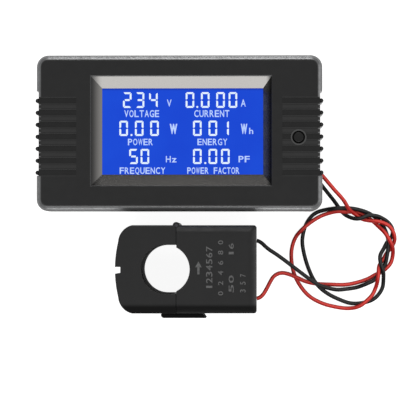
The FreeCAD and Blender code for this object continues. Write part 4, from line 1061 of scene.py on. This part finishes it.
# %% Finishes of the taller parts
def metal(name, dark, light, roughness, size, stretch=(1, 1, 1), depth=0.003):
    """Bare metal with fine marks drawn out along one way."""
    finish, shader = finish_named(name, roughness, metallic=1.0)
    marks = noise(finish, size, 4.0, stretch)
    dye(finish, shader, ramp(finish, marks, dark, light))
    uneven(finish, shader, roughness, 0.07, 1.0)
    bump(finish, shader, marks, depth)
    return finish, shader


SLEEVE_LEFT, SLEEVE_RIGHT = -36.6, -24.4
STRIPE_Z = (7.2, 9.2)
RING_WIDTH = 0.7
metal("crystal_can", (0.55, 0.54, 0.52), (0.66, 0.65, 0.63), 0.3, 0.4, (0.1, 1, 1))
moulded("film_case", (0.62, 0.42, 0.03), (0.70, 0.50, 0.05), 0.35)
sleeve, sleeve_shader, sleeve_tone = moulded(
    "capacitor_sleeve", (0.012, 0.018, 0.05), (0.018, 0.026, 0.07), 0.32)
sleeve_x, _, sleeve_z = millimetres(sleeve)
bare_end = calculate(sleeve, "MAXIMUM", rise(sleeve, sleeve_x, SLEEVE_RIGHT, SLEEVE_RIGHT + 0.2),
                     rise(sleeve, sleeve_x, SLEEVE_LEFT, SLEEVE_LEFT - 0.2))
sleeve_tone = mix_colours(sleeve, between(sleeve, sleeve_z, *STRIPE_Z), sleeve_tone,
                          (0.35, 0.36, 0.38))
dye(sleeve, sleeve_shader, mix_colours(sleeve, bare_end, sleeve_tone, grey(0.7)))
wire(sleeve, bare_end, sleeve_shader.inputs["Metallic"])
paint, paint_shader, paint_tone = moulded(
    "resistor_paint", (0.20, 0.24, 0.25), (0.26, 0.30, 0.31), 0.5, depth=0.02)
BROWN, BLACK, GOLD = (0.10, 0.03, 0.01), grey(0.01), (0.45, 0.32, 0.06)
for start, colour in ((9.5, BROWN), (11.0, BLACK), (12.5, BROWN), (16.0, GOLD)):
    ring = between(paint, millimetres(paint)[0], start, start + RING_WIDTH)
    paint_tone = mix_colours(paint, ring, paint_tone, colour)
dye(paint, paint_shader, paint_tone)
moulded("disc_paint", (0.02, 0.07, 0.30), (0.03, 0.10, 0.38), 0.35, grain=1.4, depth=0.06)
moulded("switch_resin", grey(0.012), grey(0.02), 0.5)
print("tall parts finished")

# %% [markdown]
# ### Screws and terminals
# Zinc-plated steel has a bright, slightly blue tone with fine turning marks. The terminal block
# is green polyamide with a grainy skin, and the stripped lead ends are tinned strands, twisted,
# so slanting stripes run round them.

# %% Finishes of screws and terminals
STRAND_PITCH = 0.36
metal("screw_steel", (0.56, 0.57, 0.58), (0.68, 0.69, 0.70), 0.32, 0.5, (1, 1, 0.15))
moulded("block_plastic", (0.015, 0.16, 0.06), (0.02, 0.20, 0.08), 0.45, grain=0.3, depth=0.01)
tinned, tinned_shader = metal("tinned_copper", (0.60, 0.59, 0.56), (0.72, 0.71, 0.69), 0.3, 0.6)
tinned_x, _, tinned_z = millimetres(tinned)
slant = calculate(tinned, "ADD", tinned_x, calculate(tinned, "MULTIPLY", tinned_z, 1.5))
bump(tinned, tinned_shader, stripes(tinned, slant, STRAND_PITCH, 0.5), 0.05)
print("metal finished, strands", STRAND_PITCH, "mm apart")

# %% [markdown]
# ## Inside the clamp
# The ferrite core is a dark grey ceramic with small pits. The spring and the hinge pin are blued
# spring steel, as dark as the pin's end looks in the photograph. The bobbin is milky nylon, and
# the winding is enamelled copper wire laid turn by turn, which stripes with a rounded bump show
# at their pitch of 0.25 mm, with painted shade in a dark line between neighbouring turns.

# %% Finishes inside the clamp
WIRE_PITCH = 0.25
moulded("core_ferrite", (0.035, 0.034, 0.036), (0.055, 0.054, 0.056), 0.55, grain=0.35, depth=0.02)
metal("spring_steel", (0.07, 0.07, 0.075), (0.11, 0.11, 0.12), 0.34, 0.6, (1, 1, 0.1))
moulded("bobbin_plastic", (0.62, 0.60, 0.54), (0.72, 0.70, 0.64), 0.4)
copper, copper_shader = metal("winding_copper", (0.34, 0.11, 0.03), (0.44, 0.16, 0.05), 0.4, 1.5)
turns = calculate(copper, "PINGPONG", millimetres(copper)[1], WIRE_PITCH / 2)
# painted shade: a dark line where neighbouring turns meet
dye(copper, copper_shader, mix_colours(copper, rise(copper, turns, 0.0, 0.04),
                                       (0.10, 0.03, 0.01), (0.42, 0.15, 0.05)))
bump(copper, copper_shader, turns, 0.3)
copper_shader.inputs["Coat Weight"].default_value = 0.25
copper_shader.inputs["Coat Roughness"].default_value = 0.15
print("clamp insides finished, wire pitch", WIRE_PITCH, "mm")
